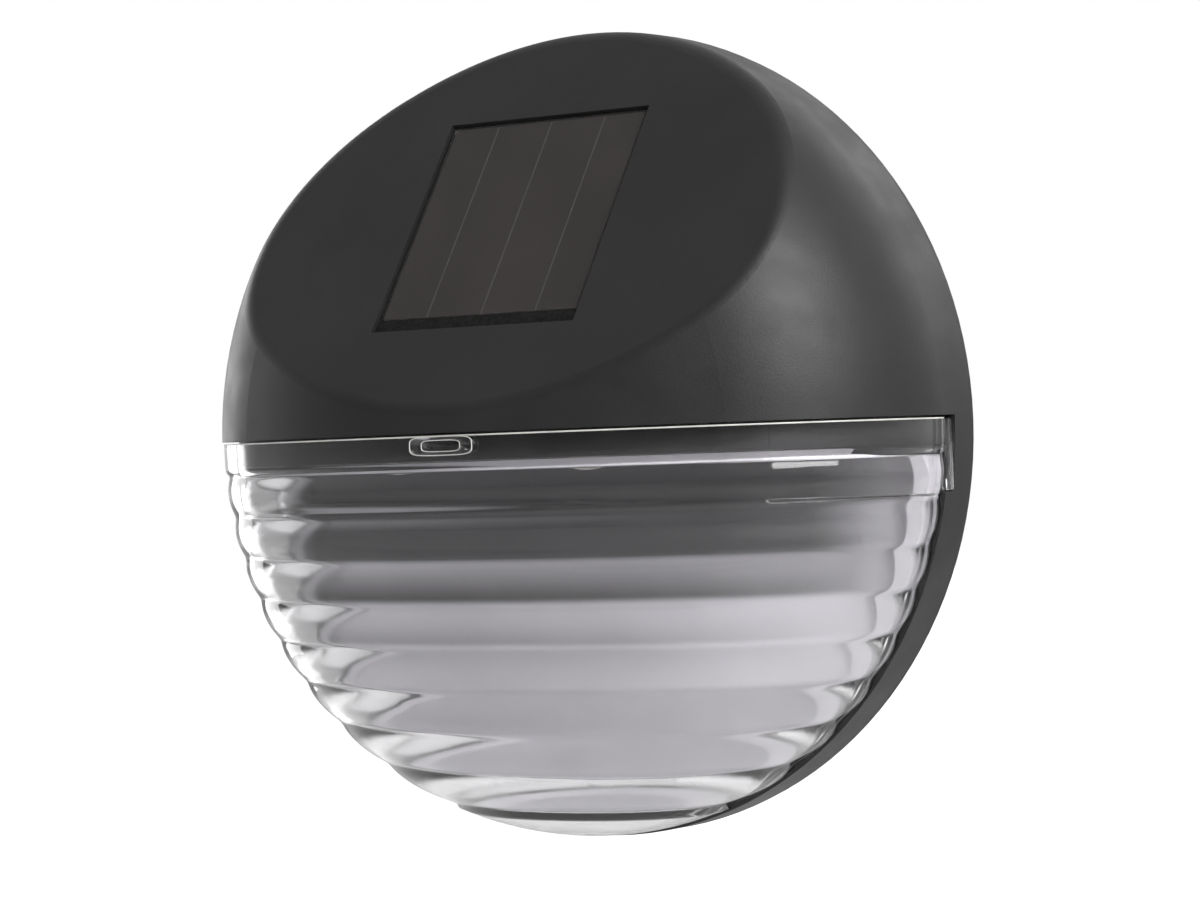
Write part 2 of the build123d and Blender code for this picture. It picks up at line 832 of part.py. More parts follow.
with BuildPart() as rear_cover:
    with BuildSketch(Plane.XZ):
        Circle(cover_radius)
    extrude(amount=cover_rim)
    chamfer(rear_cover.edges().group_by(Axis.Y)[-1], length=cover_ease)
    with BuildSketch(Plane.XZ.offset(cover_rim)):
        Circle(seat_radius)
    extrude(amount=cover_thickness - cover_rim)
    # battery bay, the ledge that the door's seal lies on, and the bosses of the door's screws
    with BuildSketch(Plane.XZ.offset(cover_rim)):
        with Locations((0, battery_height)):
            RectangleRounded(
                door_length + 2 * (door_gap + bay_wall),
                door_height + 2 * (door_gap + bay_wall),
                door_corner + door_gap + bay_wall,
            )
    extrude(amount=door_recess + ledge_thickness - cover_rim)
    with BuildSketch(Plane.XZ.offset(cover_rim)):
        with Locations((0, battery_height)):
            RectangleRounded(bay_length + 2 * bay_wall, bay_height + 2 * bay_wall, bay_corner)
    extrude(amount=bay_front + bay_wall - cover_rim)
    with BuildSketch(Plane.XZ.offset(cover_rim)):
        with Locations(*door_places):
            Circle(door_screw_radius + screw_gap + bay_wall)
    extrude(amount=door_boss_depth - cover_rim)
    with BuildSketch(Plane.XZ):
        with Locations((0, battery_height)):
            Rectangle(bay_length, bay_height)
    extrude(amount=bay_front, mode=Mode.SUBTRACT)
    with BuildSketch(Plane.XZ):
        with Locations((0, battery_height)):
            RectangleRounded(
                door_length + 2 * door_gap, door_height + 2 * door_gap, door_corner + door_gap
            )
    extrude(amount=door_recess, mode=Mode.SUBTRACT)
    with BuildSketch(Plane.XZ):
        with Locations(*door_places):
            Circle(door_screw_radius + screw_gap)
    extrude(amount=door_boss_depth - bay_wall, mode=Mode.SUBTRACT)
    # holes for the battery wires through both end walls of the bay
    with BuildSketch(Plane.YZ):
        with Locations((-wire_exit_depth, battery_height)):
            Circle(wire_radius + screw_gap)
    extrude(amount=bay_length / 2 + 2 * bay_wall, both=True, mode=Mode.SUBTRACT)
    # closed pocket that hides the head of the wall screw, then the keyhole itself
    with BuildSketch(Plane.XZ.offset(cover_rim)):
        keyhole_outline(pocket_gap + pocket_wall)
    extrude(amount=pocket_front + pocket_wall - cover_rim)
    with BuildSketch(Plane.XZ.offset(cover_thickness)):
        keyhole_outline(pocket_gap)
    extrude(amount=pocket_room, mode=Mode.SUBTRACT)
    with BuildSketch(Plane.XZ):
        keyhole_outline(0)
    extrude(amount=cover_thickness, mode=Mode.SUBTRACT)
    # window and stakes for the switch
    with BuildSketch(Plane.XZ):
        with Locations((switch_x, switch_height)):
            Rectangle(
                knob_length + switch_travel + 2 * knob_gap, knob_width + 2 * knob_gap
            )
    extrude(amount=cover_thickness, mode=Mode.SUBTRACT)
    with BuildSketch(Plane.XZ.offset(cover_thickness)):
        with Locations(*ear_places):
            Circle(stake_radius)
    extrude(amount=stake_height)
    # sunk holes for the cover's screws
    with BuildSketch(Plane.XZ):
        with Locations(*screw_places):
            Circle(cover_screw_radius + screw_gap)
    extrude(amount=cover_thickness, mode=Mode.SUBTRACT)
    with BuildSketch(Plane.XZ):
        with Locations(*screw_places):
            Circle(cover_screw_head + screw_gap)
    extrude(amount=cover_screw_sink, mode=Mode.SUBTRACT)
save(rear_cover, "rear_cover")

with BuildPart() as rear_seal:
    with BuildSketch(Plane.XZ.offset(cover_rim)):
        Circle(seal_groove_inner + seal_width - cover_gap / 2)
        Circle(seal_groove_inner + cover_gap / 2, mode=Mode.SUBTRACT)
    extrude(amount=seal_height - cover_gap / 2)
save(rear_seal, "rear_seal")


def sunk_screws(label, places, seat, head, shank, length):
    """Screws whose heads stand on a seat and whose shanks run forward from it."""
    with BuildPart() as screws:
        with BuildSketch(Plane.XZ.offset(seat - head_height)):
            with Locations(*places):
                Circle(head)
        extrude(amount=head_height)
        with BuildSketch(Plane.XZ.offset(seat)):
            with Locations(*places):
                Circle(shank)
        extrude(amount=length)
        # cross slot of each head
        with BuildSketch(Plane.XZ.offset(seat - head_height)):
            with Locations(*places):
                Rectangle(driver_length, driver_slot)
                Rectangle(driver_slot, driver_length)
        extrude(amount=driver_depth, mode=Mode.SUBTRACT)
    save(screws, label)


sunk_screws(
    "cover_screws",
    screw_places,
    cover_screw_sink,
    cover_screw_head,
    cover_screw_radius,
    cover_screw_length - fit_gap,
)

# ---------------------------------------------------------------- battery door
door_front = door_sink + door_thickness
door_seat = door_sink + door_head_sink

with BuildPart() as battery_door:
    with BuildSketch(Plane.XZ.offset(door_sink)):
        with Locations((0, battery_height)):
            RectangleRounded(door_length, door_height, door_corner)
        with Locations(*door_places):
            Circle(door_screw_radius + screw_gap, mode=Mode.SUBTRACT)
    extrude(amount=door_thickness)
    with BuildSketch(Plane.XZ.offset(door_sink)):
        with Locations(*door_places):
            Circle(door_screw_head + screw_gap)
    extrude(amount=door_head_sink, mode=Mode.SUBTRACT)
save(battery_door, "battery_door")

with BuildPart() as door_seal:
    with BuildSketch(Plane.XZ.offset(door_front)):
        with Locations((0, battery_height)):
            RectangleRounded(
                bay_length + 2 * (bay_gap + door_seal_width),
                bay_height + 2 * (bay_gap + door_seal_width),
                door_corner,
            )
            Rectangle(bay_length + 2 * bay_gap, bay_height + 2 * bay_gap, mode=Mode.SUBTRACT)
    extrude(amount=door_seal_thickness)
save(door_seal, "door_seal")

sunk_screws(
    "door_screws",
    door_places,
    door_seat,
    door_screw_head,
    door_screw_radius,
    door_screw_length,
)

# ---------------------------------------------------------------- battery and contacts
plate_inside = bay_length / 2 - contact_sheet
nub_end = plate_inside - dimple_height - contact_gap
cell_end = nub_end - nub_length
cell_start = nub_end - battery_length
washer_radius = cell_radius - washer_step


def along_bay(radius, start, end, hole=0):
    """Round block on the battery's axis between two places along X."""
    with BuildPart() as block:
        with BuildSketch(Plane.YZ.offset(start)):
            with Locations((-battery_depth, battery_height)):
                Circle(radius)
                if hole:
                    Circle(hole, mode=Mode.SUBTRACT)
        extrude(amount=end - start)
    return block.part


cell_can = along_bay(cell_radius, cell_start, cell_end - washer_thickness)
washer = along_bay(washer_radius, cell_end - washer_thickness, cell_end, nub_radius)
nub = along_bay(nub_radius, cell_end - washer_thickness, nub_end)

with BuildPart() as battery_body:
    add(cell_can)
    rims = battery_body.edges().filter_by(GeomType.CIRCLE)
    fillet(rims, radius=can_round)
save(battery_body, "battery_body")

with BuildPart() as battery_cap:
    add(nub)
    fillet(battery_cap.edges().filter_by(GeomType.CIRCLE).sort_by(Axis.X)[-1], radius=can_round)
save(battery_cap, "battery_cap")

with BuildPart() as battery_insulator:
    add(washer)
save(battery_insulator, "battery_insulator")


def contact_plate(outside, inside):
    """Sheet that lies against one end wall of the bay."""
    with BuildPart() as sheet:
        with BuildSketch(Plane.YZ.offset(outside)):
            with Locations((-battery_depth, battery_height)):
                Rectangle(contact_depth, contact_width)
        extrude(amount=inside - outside)
    return sheet.part


positive_sheet = contact_plate(bay_length / 2, plate_inside)
dimple = along_bay(dimple_radius, plate_inside - dimple_height, plate_inside)

with BuildPart() as contact_positive:
    add(positive_sheet)
    add(dimple)
save(contact_positive, "contact_positive")

spring_start = -plate_inside + 2 * spring_wire + spring_bend
spring_end = cell_start - contact_gap - spring_wire
spring_rise = (spring_end - spring_start) / spring_turns
spring_taper = (spring_base_radius - spring_tip_radius) / spring_turns


def coil_point(turn):
    """Place and direction of the spring's wire after a number of turns."""
    angle = 2 * pi * turn
    radius = spring_base_radius - spring_taper * turn
    place = Vector(
        spring_start + spring_rise * turn,
        -battery_depth + radius * cos(angle),
        battery_height + radius * sin(angle),
    )
    heading = Vector(
        spring_rise,
        -spring_taper * cos(angle) - 2 * pi * radius * sin(angle),
        -spring_taper * sin(angle) + 2 * pi * radius * cos(angle),
    )
    return place, heading.normalized()


def biarc_joint(start, leaving, end, arriving):
    """Point where two arcs meet that join two places with given directions."""
    span = end - start
    square = 2 * (leaving.dot(arriving) - 1)
    across = span.dot(leaving + arriving)
    reach = (across - sqrt(across**2 - square * span.dot(span))) / square
    return (start + leaving * reach + end - arriving * reach) / 2


# The wire stands square on its sheet, bends into the first turn and ends in a short straight run
foot_way = Vector(1, 0, 0)
coil_start, coil_heading = coil_point(0)
foot_turn = radians(foot_way.get_angle(coil_heading))
bend_start = coil_start - (foot_way + coil_heading) * (spring_bend * tan(foot_turn / 2))
foot_start = Vector(-plate_inside - spring_bed, bend_start.Y, bend_start.Z)
coil_end, end_heading = coil_point(spring_turns)

with BuildLine() as coil:
    Line(foot_start, bend_start)
    TangentArc(bend_start, coil_start, tangent=foot_way)
    for half in range(2 * spring_turns):
        start, leaving = coil_point(half / 2)
        end, arriving = coil_point((half + 1) / 2)
        joint = biarc_joint(start, leaving, end, arriving)
        first = TangentArc(start, joint, tangent=leaving)
        TangentArc(joint, end, tangent=first % 1)
    Line(coil_end, coil_end + end_heading * (2 * spring_wire))

coil_path = coil.wire()
check_count = spring_turns * spring_checks
check_points = [coil_path @ (step / check_count) for step in range(check_count + 1)]
least = min(
    (check_points[low] - check_points[high]).length
    for low in range(check_count + 1)
    for high in range(low + spring_checks // 2, check_count + 1)
)
print(f"least gap of the spring's wire to itself: {least - 2 * spring_wire:.2f} mm")
negative_sheet = contact_plate(-bay_length / 2, -plate_inside)

with BuildPart() as contact_spring:
    with BuildSketch(Plane(origin=coil_path @ 0, z_dir=coil_path % 0)):
        Circle(spring_wire)
    sweep(path=coil_path)
    add(negative_sheet)
save(contact_spring, "contact_spring")

# ---------------------------------------------------------------- switch
can_back = cover_thickness + switch_sheet
can_front = cover_thickness + switch_can_depth
window = knob_length + switch_travel + 2 * knob_gap

with BuildPart() as switch_frame:
    with BuildSketch(Plane.XZ.offset(cover_thickness)):
        with Locations((switch_x, switch_height)):
            RectangleRounded(switch_ears, switch_width, switch_width / 2 - knob_gap)
            Rectangle(window, knob_width + 2 * knob_gap, mode=Mode.SUBTRACT)
        with Locations(*ear_places):
            Circle(ear_hole_radius, mode=Mode.SUBTRACT)
    extrude(amount=switch_sheet)
    with BuildSketch(Plane.XZ.offset(can_back)):
        with Locations((switch_x, switch_height)):
            Rectangle(switch_length, switch_width)
            Rectangle(
                switch_length - 2 * switch_sheet, switch_width - 2 * switch_sheet, mode=Mode.SUBTRACT
            )
    extrude(amount=can_front - can_back)
save(switch_frame, "switch_frame")

with BuildPart() as switch_base:
    with BuildSketch(Plane.XZ.offset(can_front)):
        with Locations((switch_x, switch_height)):
            Rectangle(switch_length, switch_width)
    extrude(amount=switch_base_thickness)
save(switch_base, "switch_base")

with BuildPart() as switch_pins:
    with BuildSketch(Plane.XZ.offset(can_front + switch_base_thickness)):
        with Locations((switch_x, switch_height)):
            with GridLocations(pin_pitch, 0, 3, 1):
                Circle(pin_radius)
    extrude(amount=pin_length)
save(switch_pins, "switch_pins")

off_x = switch_x - switch_travel / 2
with BuildPart() as switch_lever:
    with BuildSketch(Plane.XZ.offset(can_back + slide_gap)):
        with Locations((off_x, switch_height)):
            Rectangle(slider_length, switch_width - 2 * switch_sheet - 2 * slide_gap)
    extrude(amount=slider_height)
    with BuildSketch(Plane.XZ.offset(knob_sink)):
        with Locations((off_x, switch_height)):
            Rectangle(knob_length, knob_width)
    extrude(amount=can_back + slide_gap - knob_sink)
    # grip grooves across the end of the knob
    with BuildSketch(Plane.XZ.offset(knob_sink)):
        with Locations((off_x, switch_height)):
            with GridLocations(knob_groove_pitch, 0, 2, 1):
                Rectangle(knob_groove, knob_width)
    extrude(amount=knob_groove, mode=Mode.SUBTRACT)
save(switch_lever, "switch_lever")


# ---------------------------------------------------------------- wires
def bend_radii(points):
    """Radius of the tangent arc at each inner point of a route, from its shorter run."""
    radii = []
    for before, here, after in zip(points, points[1:], points[2:]):
        back = Vector(*before) - Vector(*here)
        ahead = Vector(*after) - Vector(*here)
        turn = pi - radians(back.get_angle(ahead))
        radii.append(bend_share * min(back.length, ahead.length) / tan(turn / 2))
    return radii


def wire(points):
    """Insulated wire along a route of straight runs and arcs."""
    with BuildLine() as route:
        FilletPolyline(*points, radius=bend_radii(points))
    path = route.wire()
    with BuildPart() as lead:
        with BuildSketch(Plane(origin=path @ 0, z_dir=path % 0)):
            Circle(wire_radius)
        sweep(path=path)
    ideal = pi * wire_radius**2 * path.length
    print(f"wire {path.length:.1f} mm, volume {lead.part.volume / ideal:.3f} of section x length")
    return lead.part


def facet_point(x, y, below):
    """Point in world coordinates from a place on the facet and a distance under it."""
    point = facet_plane.from_local_coords(Vector(x, y, -below))
    return (point.X, point.Y, point.Z)


# The panel's wires leave its board through the hole in the pad and bend down to the circuit board
for label, side in (("panel_wire_red", 1), ("panel_wire_black", -1)):
    x = side * panel_wire_spread
    start = facet_point(x, -wire_hole_drop, recess_depth)
    inside = facet_point(x, -wire_hole_drop, recess_depth + panel_wire_out)
    land = board_back + panel_wire_edge
    points = [
        start,
        inside,
        (x, -land + panel_wire_belly, (inside[2] + board_top) / 2),
        (x, -land, board_top + panel_wire_drop),
        (x, -land, board_top),
    ]
    piece = wire(points)
    piece.label = label
    export_step(piece, f"parts/{label}.step")

# The battery's wires leave through the end walls of its bay and come back to the board's ends
for label, side in (("battery_wire_red", 1), ("battery_wire_black", -1)):
    land = board_back + battery_wire_edge
    turn_x = bay_length / 2 + bay_wall + battery_wire_out
    end_x = board_width / 2 - battery_wire_edge
    points = [
        (side * bay_length / 2, -wire_exit_depth, battery_height),
        (side * turn_x, -wire_exit_depth, battery_height),
        (side * turn_x, -land, board_top + battery_wire_rise),
        (side * end_x, -land, board_top + battery_wire_rise),
        (side * end_x, -land, board_top),
    ]
    piece = wire(points)
    piece.label = label
    export_step(piece, f"parts/{label}.step")

# The switch's wires run forward over the bay and down past its front to the board
pin_end = can_front + switch_base_thickness + pin_length
end_x = board_width / 2 - battery_wire_edge
bend_depth = bay_front + bay_wall + switch_wire_clear
switch_leads = []
for number in (0, 1):
    start_x = switch_x + number * pin_pitch
    land = board_back + battery_wire_edge + (number + 1) * switch_wire_pitch
    points = [
        (start_x, -pin_end, switch_height),
        (start_x, -pin_end - switch_wire_out, switch_height),
        (start_x, -bend_depth, switch_height - switch_wire_fall),
        (end_x, -land, board_top + switch_wire_drop),
        (end_x, -land, board_top),
    ]
    switch_leads.append(wire(points))

with BuildPart() as switch_wires:
    for lead in switch_leads:
        add(lead)
save(switch_wires, "switch_wires")
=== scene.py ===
# %% [markdown]
# # A solar fence light, dressed piece by piece
# The real object is a black plastic dome that hangs on a fence. A solar panel lies in its tilted
# facet, two lamps point down under it, and a clear ribbed lens closes the lower half in front of a
# bright tray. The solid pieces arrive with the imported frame. This lesson gives each its finish, and
# rebuilds the one piece whose looks depend on its curves: the lens.

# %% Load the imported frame
import math
import bpy
import bmesh
from mathutils import Matrix, Vector


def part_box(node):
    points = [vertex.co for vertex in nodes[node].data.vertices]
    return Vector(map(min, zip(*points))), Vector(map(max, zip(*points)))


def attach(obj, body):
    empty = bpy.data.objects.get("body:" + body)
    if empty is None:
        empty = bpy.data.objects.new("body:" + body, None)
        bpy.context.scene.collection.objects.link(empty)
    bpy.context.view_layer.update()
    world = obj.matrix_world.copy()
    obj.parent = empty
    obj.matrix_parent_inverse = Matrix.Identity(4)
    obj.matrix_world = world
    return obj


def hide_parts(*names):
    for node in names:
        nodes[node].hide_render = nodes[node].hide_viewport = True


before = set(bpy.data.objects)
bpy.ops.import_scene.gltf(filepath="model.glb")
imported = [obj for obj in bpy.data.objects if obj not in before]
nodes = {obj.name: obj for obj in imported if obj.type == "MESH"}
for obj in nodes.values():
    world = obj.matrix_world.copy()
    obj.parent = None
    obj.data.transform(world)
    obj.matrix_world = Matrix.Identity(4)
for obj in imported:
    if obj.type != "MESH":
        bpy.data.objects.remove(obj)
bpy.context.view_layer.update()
MM = 0.001

# %% [markdown]
# ## Moulded plastic
# The housing and its cover are injection-moulded in black plastic with a fine spark-eroded grain.
# Grain could be modelled, but at a third of a millimetre it belongs in a bump map. So one helper
# makes every plain finish: a cloudy colour, a roughness that wanders a little, and a fine relief.
# Constants stay on the shader's own sockets, and only what varies comes from noise.


# %% A helper for plain finishes
def noise(tree, scale, detail=2.0, rough=0.5):
    """Noise in the object's own metres."""
    place = tree.nodes.new("ShaderNodeTexCoord")
    texture = tree.nodes.new("ShaderNodeTexNoise")
    texture.inputs["Scale"].default_value = scale
    texture.inputs["Detail"].default_value = detail
    texture.inputs["Roughness"].default_value = rough
    tree.links.new(place.outputs["Object"], texture.inputs["Vector"])
    return texture.outputs["Fac"]


def between(tree, factor, low, high):
    """A number that follows a noise from low to high."""
    spread = tree.nodes.new("ShaderNodeMapRange")
    spread.inputs["From Min"].default_value = 0.3
    spread.inputs["From Max"].default_value = 0.7
    spread.inputs["To Min"].default_value = low
    spread.inputs["To Max"].default_value = high
    tree.links.new(factor, spread.inputs["Value"])
    return spread.outputs["Result"]


def tint(tree, factor, first, second):
    """A colour that follows a noise from the first to the second."""
    ramp = tree.nodes.new("ShaderNodeValToRGB")
    ramp.color_ramp.elements[0].position = 0.3
    ramp.color_ramp.elements[1].position = 0.7
    ramp.color_ramp.elements[0].color = (*first, 1)
    ramp.color_ramp.elements[1].color = (*second, 1)
    tree.links.new(factor, ramp.inputs["Fac"])
    return ramp.outputs["Color"]


def relief(tree, shader, height, depth):
    """A bump of a real depth in metres."""
    bump = tree.nodes.new("ShaderNodeBump")
    bump.inputs["Distance"].default_value = depth
    bump.inputs["Strength"].default_value = 1.0
    tree.links.new(height, bump.inputs["Height"])
    tree.links.new(bump.outputs["Normal"], shader.inputs["Normal"])


def finish(name, first, second, rough, cloud=60, grain=None, depth=0.0, **sockets):
    """A material whose colour drifts between two tones, with a roughness range and a grain."""
    material = bpy.data.materials.new(name)
    material.use_nodes = True
    tree = material.node_tree
    shader = tree.nodes["Principled BSDF"]
    for socket, value in sockets.items():
        shader.inputs[socket.replace("_", " ")].default_value = value
    drift = noise(tree, cloud, 3.0)
    tree.links.new(tint(tree, drift, first, second), shader.inputs["Base Color"])
    wander = noise(tree, cloud * 3.1, 2.0)
    tree.links.new(between(tree, wander, *rough), shader.inputs["Roughness"])
    if grain:
        relief(tree, shader, noise(tree, grain, 2.0, 0.6), depth)
    return material


def dress(material, *names):
    """Gives CAD nodes a material in all their slots."""
    for name in names:
        slots = nodes[name].data.materials
        slots.clear()
        slots.append(material)


shell_black = finish(
    "moulded_black", (0.008, 0.0077, 0.008), (0.012, 0.0116, 0.012), (0.46, 0.56),
    cloud=45, grain=3200, depth=0.00002, Specular_IOR_Level=0.5,
)
cover_black = finish(
    "cover_black", (0.013, 0.0125, 0.013), (0.02, 0.0195, 0.02), (0.5, 0.62),
    cloud=60, grain=2400, depth=0.000025, Specular_IOR_Level=0.4,
)
dress(shell_black, "housing")
dress(cover_black, "rear_cover", "battery_door", "switch_lever")
print("moulded pieces:", shell_black.name, cover_black.name)

# %% [markdown]
# ## The solar panel
# Four strips of thin dark silicon lie under a clear potting. They show brown-black with a soft
# gloss, and pale hairlines run between them where the strips are joined in series. First come the
# finishes of strips, board and compound. The strips, the lines and the clear plate follow below.

# %% Cells, potting, backing and compound
cell_dark = finish(
    "cell_dark", (0.017, 0.0145, 0.0135), (0.025, 0.0215, 0.0195), (0.3, 0.38),
    cloud=70, grain=2600, depth=0.0000008, Specular_IOR_Level=0.3,
)
backing_grey = finish("backing_grey", (0.03, 0.03, 0.03), (0.05, 0.05, 0.048), (0.5, 0.7), cloud=200)
compound = finish(
    "sealing_compound", (0.004, 0.004, 0.004), (0.012, 0.012, 0.012), (0.6, 0.85),
    cloud=1600, grain=1500, depth=0.00012, Specular_IOR_Level=0.12,
)
dress(backing_grey, "solar_backing")
dress(compound, "panel_sealant")


# %% [markdown]
# ## Clear plastic
# Lens, potting and lamp bodies are clear. Plain glass would keep every lamp out, because light
# that bends through it is not followed back to the lamps. So where a shadow ray asks, the plastic
# counts as transparent, and everything behind it is lit as it would be in daylight. The lamps'
# epoxy is made partly milky, so that the small tips can be told from the tray.


# %% A helper for clear finishes
SHADOW_TINT = (0.94, 0.94, 0.95, 1)


def clear(name, colour, rough, cloud, grain, depth, index=1.49, clearness=1.0):
    """Clear plastic whose surface has a slight moulding flow, and which lets the lamps through."""
    material = bpy.data.materials.new(name)
    material.use_nodes = True
    tree = material.node_tree
    shader = tree.nodes["Principled BSDF"]
    shader.inputs["IOR"].default_value = index
    shader.inputs["Transmission Weight"].default_value = clearness
    drift = noise(tree, cloud, 2.0)
    low = tuple(c * 0.97 for c in colour)
    tree.links.new(tint(tree, drift, low, colour), shader.inputs["Base Color"])
    tree.links.new(between(tree, drift, *rough), shader.inputs["Roughness"])
    relief(tree, shader, noise(tree, grain, 1.0), depth)
    through = tree.nodes.new("ShaderNodeBsdfTransparent")
    through.inputs["Color"].default_value = SHADOW_TINT
    path = tree.nodes.new("ShaderNodeLightPath")
    mix = tree.nodes.new("ShaderNodeMixShader")
    tree.links.new(path.outputs["Is Shadow Ray"], mix.inputs["Fac"])
    tree.links.new(shader.outputs["BSDF"], mix.inputs[1])
    tree.links.new(through.outputs["BSDF"], mix.inputs[2])
    tree.links.new(mix.outputs["Shader"], tree.nodes["Material Output"].inputs["Surface"])
    return material


lens_clear = clear("lens_clear", (0.93, 0.925, 0.935), (0.05, 0.11), 120, 200, 0.000002)
potting = clear("clear_potting", (0.93, 0.93, 0.93), (0.1, 0.16), 90, 160, 0.0000015, index=1.38)
lamp_epoxy = clear(
    "lamp_epoxy", (0.9, 0.86, 0.77), (0.1, 0.3), 500, 900, 0.00003, index=1.53, clearness=0.45,
)
dress(lamp_epoxy, "led_left", "led_right")
print("clear finishes:", lens_clear.name, potting.name, lamp_epoxy.name)

# %% [markdown]
# ## Strips, lines and potting on the facet
# The potting wets the strips, with no air between. Two solids that only touch would show a false
# mirror there, so here strips and lines lie inside the clear plate, which ends just above the
# strips' foot. The facet leans back, so a small frame of its own, with one direction across and one
# up the slope, turns flat sizes into places on it.

# %% Strips, hairlines and the clear face
facet_lean = math.radians(35.4)
facet_middle = Vector((0, -23.6, 29.5)) * MM
across = Vector((1, 0, 0))
outward = Vector((0, -math.cos(facet_lean), math.sin(facet_lean)))
upslope = outward.cross(across)


def on_facet(x, y, above):
    """A place on the facet, from millimetres across, up the slope and out of it."""
    return facet_middle + (across * x + upslope * y + outward * above) * MM


def piece(name, mesh_maker, material, body, smooth=True):
    """Makes an object from a bmesh, gives it a finish and lets it ride on a body."""
    mesh = bpy.data.meshes.new(name)
    built = bmesh.new()
    mesh_maker(built)
    bmesh.ops.recalc_face_normals(built, faces=built.faces)
    built.to_mesh(mesh)
    built.free()
    mesh.materials.append(material)
    for polygon in mesh.polygons:
        polygon.use_smooth = smooth
    made = bpy.data.objects.new(name, mesh)
    bpy.context.scene.collection.objects.link(made)
    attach(made, body)
    return made


def strip_box(built, x, y, high, width, length, thick):
    """A thin box on the facet, whose top is at a height above it."""
    corners = [
        built.verts.new(on_facet(x + a * width / 2, y + b * length / 2, high - c * thick))
        for c in (0, 1) for a, b in ((-1, -1), (1, -1), (1, 1), (-1, 1))
    ]
    for ring in ((0, 1, 2, 3), (7, 6, 5, 4), (0, 4, 5, 1), (1, 5, 6, 2), (2, 6, 7, 3), (3, 7, 4, 0)):
        built.faces.new([corners[i] for i in ring])


LINES = (-8.2, 0.4, 8.9)
LINE_WIDTH, LINE_THICK, LINE_HIGH = 0.13, 0.02, -0.79
STRIPS_EDGE, STRIP_GAP, STRIP_LENGTH, STRIP_THICK, STRIP_HIGH = 15.3, 0.14, 32.0, 0.9, -0.8
PANEL_HALF_WIDTH, PANEL_HALF_LENGTH = 15.6, 16.3


def hairlines(built):
    """Thin ribbons in the gaps, just above the strips."""
    for x in LINES:
        strip_box(built, x, 0, LINE_HIGH, LINE_WIDTH, STRIP_LENGTH, LINE_THICK)


def strips(built):
    """Four strips of silicon with a gap between each two."""
    edges = [-STRIPS_EDGE, *LINES, STRIPS_EDGE]
    for left, right in zip(edges, edges[1:]):
        width = right - left - STRIP_GAP
        strip_box(built, (left + right) / 2, 0, STRIP_HIGH, width, STRIP_LENGTH, STRIP_THICK)


def clear_face(built):
    """The potting: a plate with a small chamfer round its face."""
    rings = []
    for inset, high in ((0.02, -1.69), (0.02, -0.52), (0.14, -0.4)):
        wide, long = PANEL_HALF_WIDTH - inset, PANEL_HALF_LENGTH - inset
        rings.append([
            built.verts.new(on_facet(a * wide, b * long, high))
            for a, b in ((-1, -1), (1, -1), (1, 1), (-1, 1))
        ])
    for one, two in zip(rings, rings[1:]):
        for k in range(4):
            built.faces.new((one[k], one[(k + 1) % 4], two[(k + 1) % 4], two[k]))
    built.faces.new(rings[0])
    built.faces.new(rings[-1])


line_silver = finish(
    "line_silver", (0.045, 0.043, 0.043), (0.085, 0.08, 0.08), (0.4, 0.55), cloud=900, grain=2500,
    depth=0.000004,
)
cell_lines = piece("cell_lines", hairlines, line_silver, "shell", smooth=False)
cell_strips = piece("cell_strips", strips, cell_dark, "shell", smooth=False)
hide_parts("solar_cells")
panel_face = piece("panel_face", clear_face, potting, "shell", smooth=False)
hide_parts("solar_resin")
print("panel pieces:", cell_lines.name, cell_strips.name, panel_face.name)

# %% [markdown]
# ## The tray behind the lens
# The tray's rim, its right end and its lower part are bright and soft, and it darkens towards the
# top of the sheet, in the shade of the black housing above it. A mirror of metal would show the dim
# room in front, so a pale satin finish is used, which spreads the light that comes through the lens.
# The shade is painted into its colour, on top of the real shade from the lamps. The painting has no
# edge, so ramps along height, width and depth scale one pale colour: darker towards the top as
# painted shade, and lighter at the right end and along the front rim as painted light.

# %% The tray, with painted shade and light
def ramp_of(tree, value, low, high, stops):
    """A grey level that follows a coordinate from low to high in metres, through given stops."""
    spread = tree.nodes.new("ShaderNodeMapRange")
    spread.inputs["From Min"].default_value = low
    spread.inputs["From Max"].default_value = high
    tree.links.new(value, spread.inputs["Value"])
    ramp = tree.nodes.new("ShaderNodeValToRGB")
    ramp.color_ramp.interpolation = "B_SPLINE"
    while len(ramp.color_ramp.elements) < len(stops):
        ramp.color_ramp.elements.new(1.0)
    for element, (position, level) in zip(ramp.color_ramp.elements, stops):
        element.position = position
        element.color = (level, level, level, 1)
    tree.links.new(spread.outputs["Result"], ramp.inputs["Fac"])
    return ramp.outputs["Color"]


bright_tray = finish(
    "bright_tray", (0.86, 0.84, 0.88), (0.94, 0.92, 0.96), (0.34, 0.44), cloud=55,
    grain=300, depth=0.000004, Specular_IOR_Level=0.12,
)
tree = bright_tray.node_tree
shader = tree.nodes["Principled BSDF"]
place = tree.nodes.new("ShaderNodeTexCoord")
split = tree.nodes.new("ShaderNodeSeparateXYZ")
tree.links.new(place.outputs["Object"], split.inputs["Vector"])
# Painted shade: the sheet is darker towards its top, under the black housing.
painted_top_shade = ramp_of(
    tree, split.outputs["Z"], -3 * MM, -36 * MM,
    ((0.0, 0.01), (0.27, 0.01), (0.36, 0.05), (0.42, 0.16), (0.5, 0.34), (0.62, 0.58), (0.76, 0.68),
     (0.88, 0.55), (1.0, 0.42)),
)
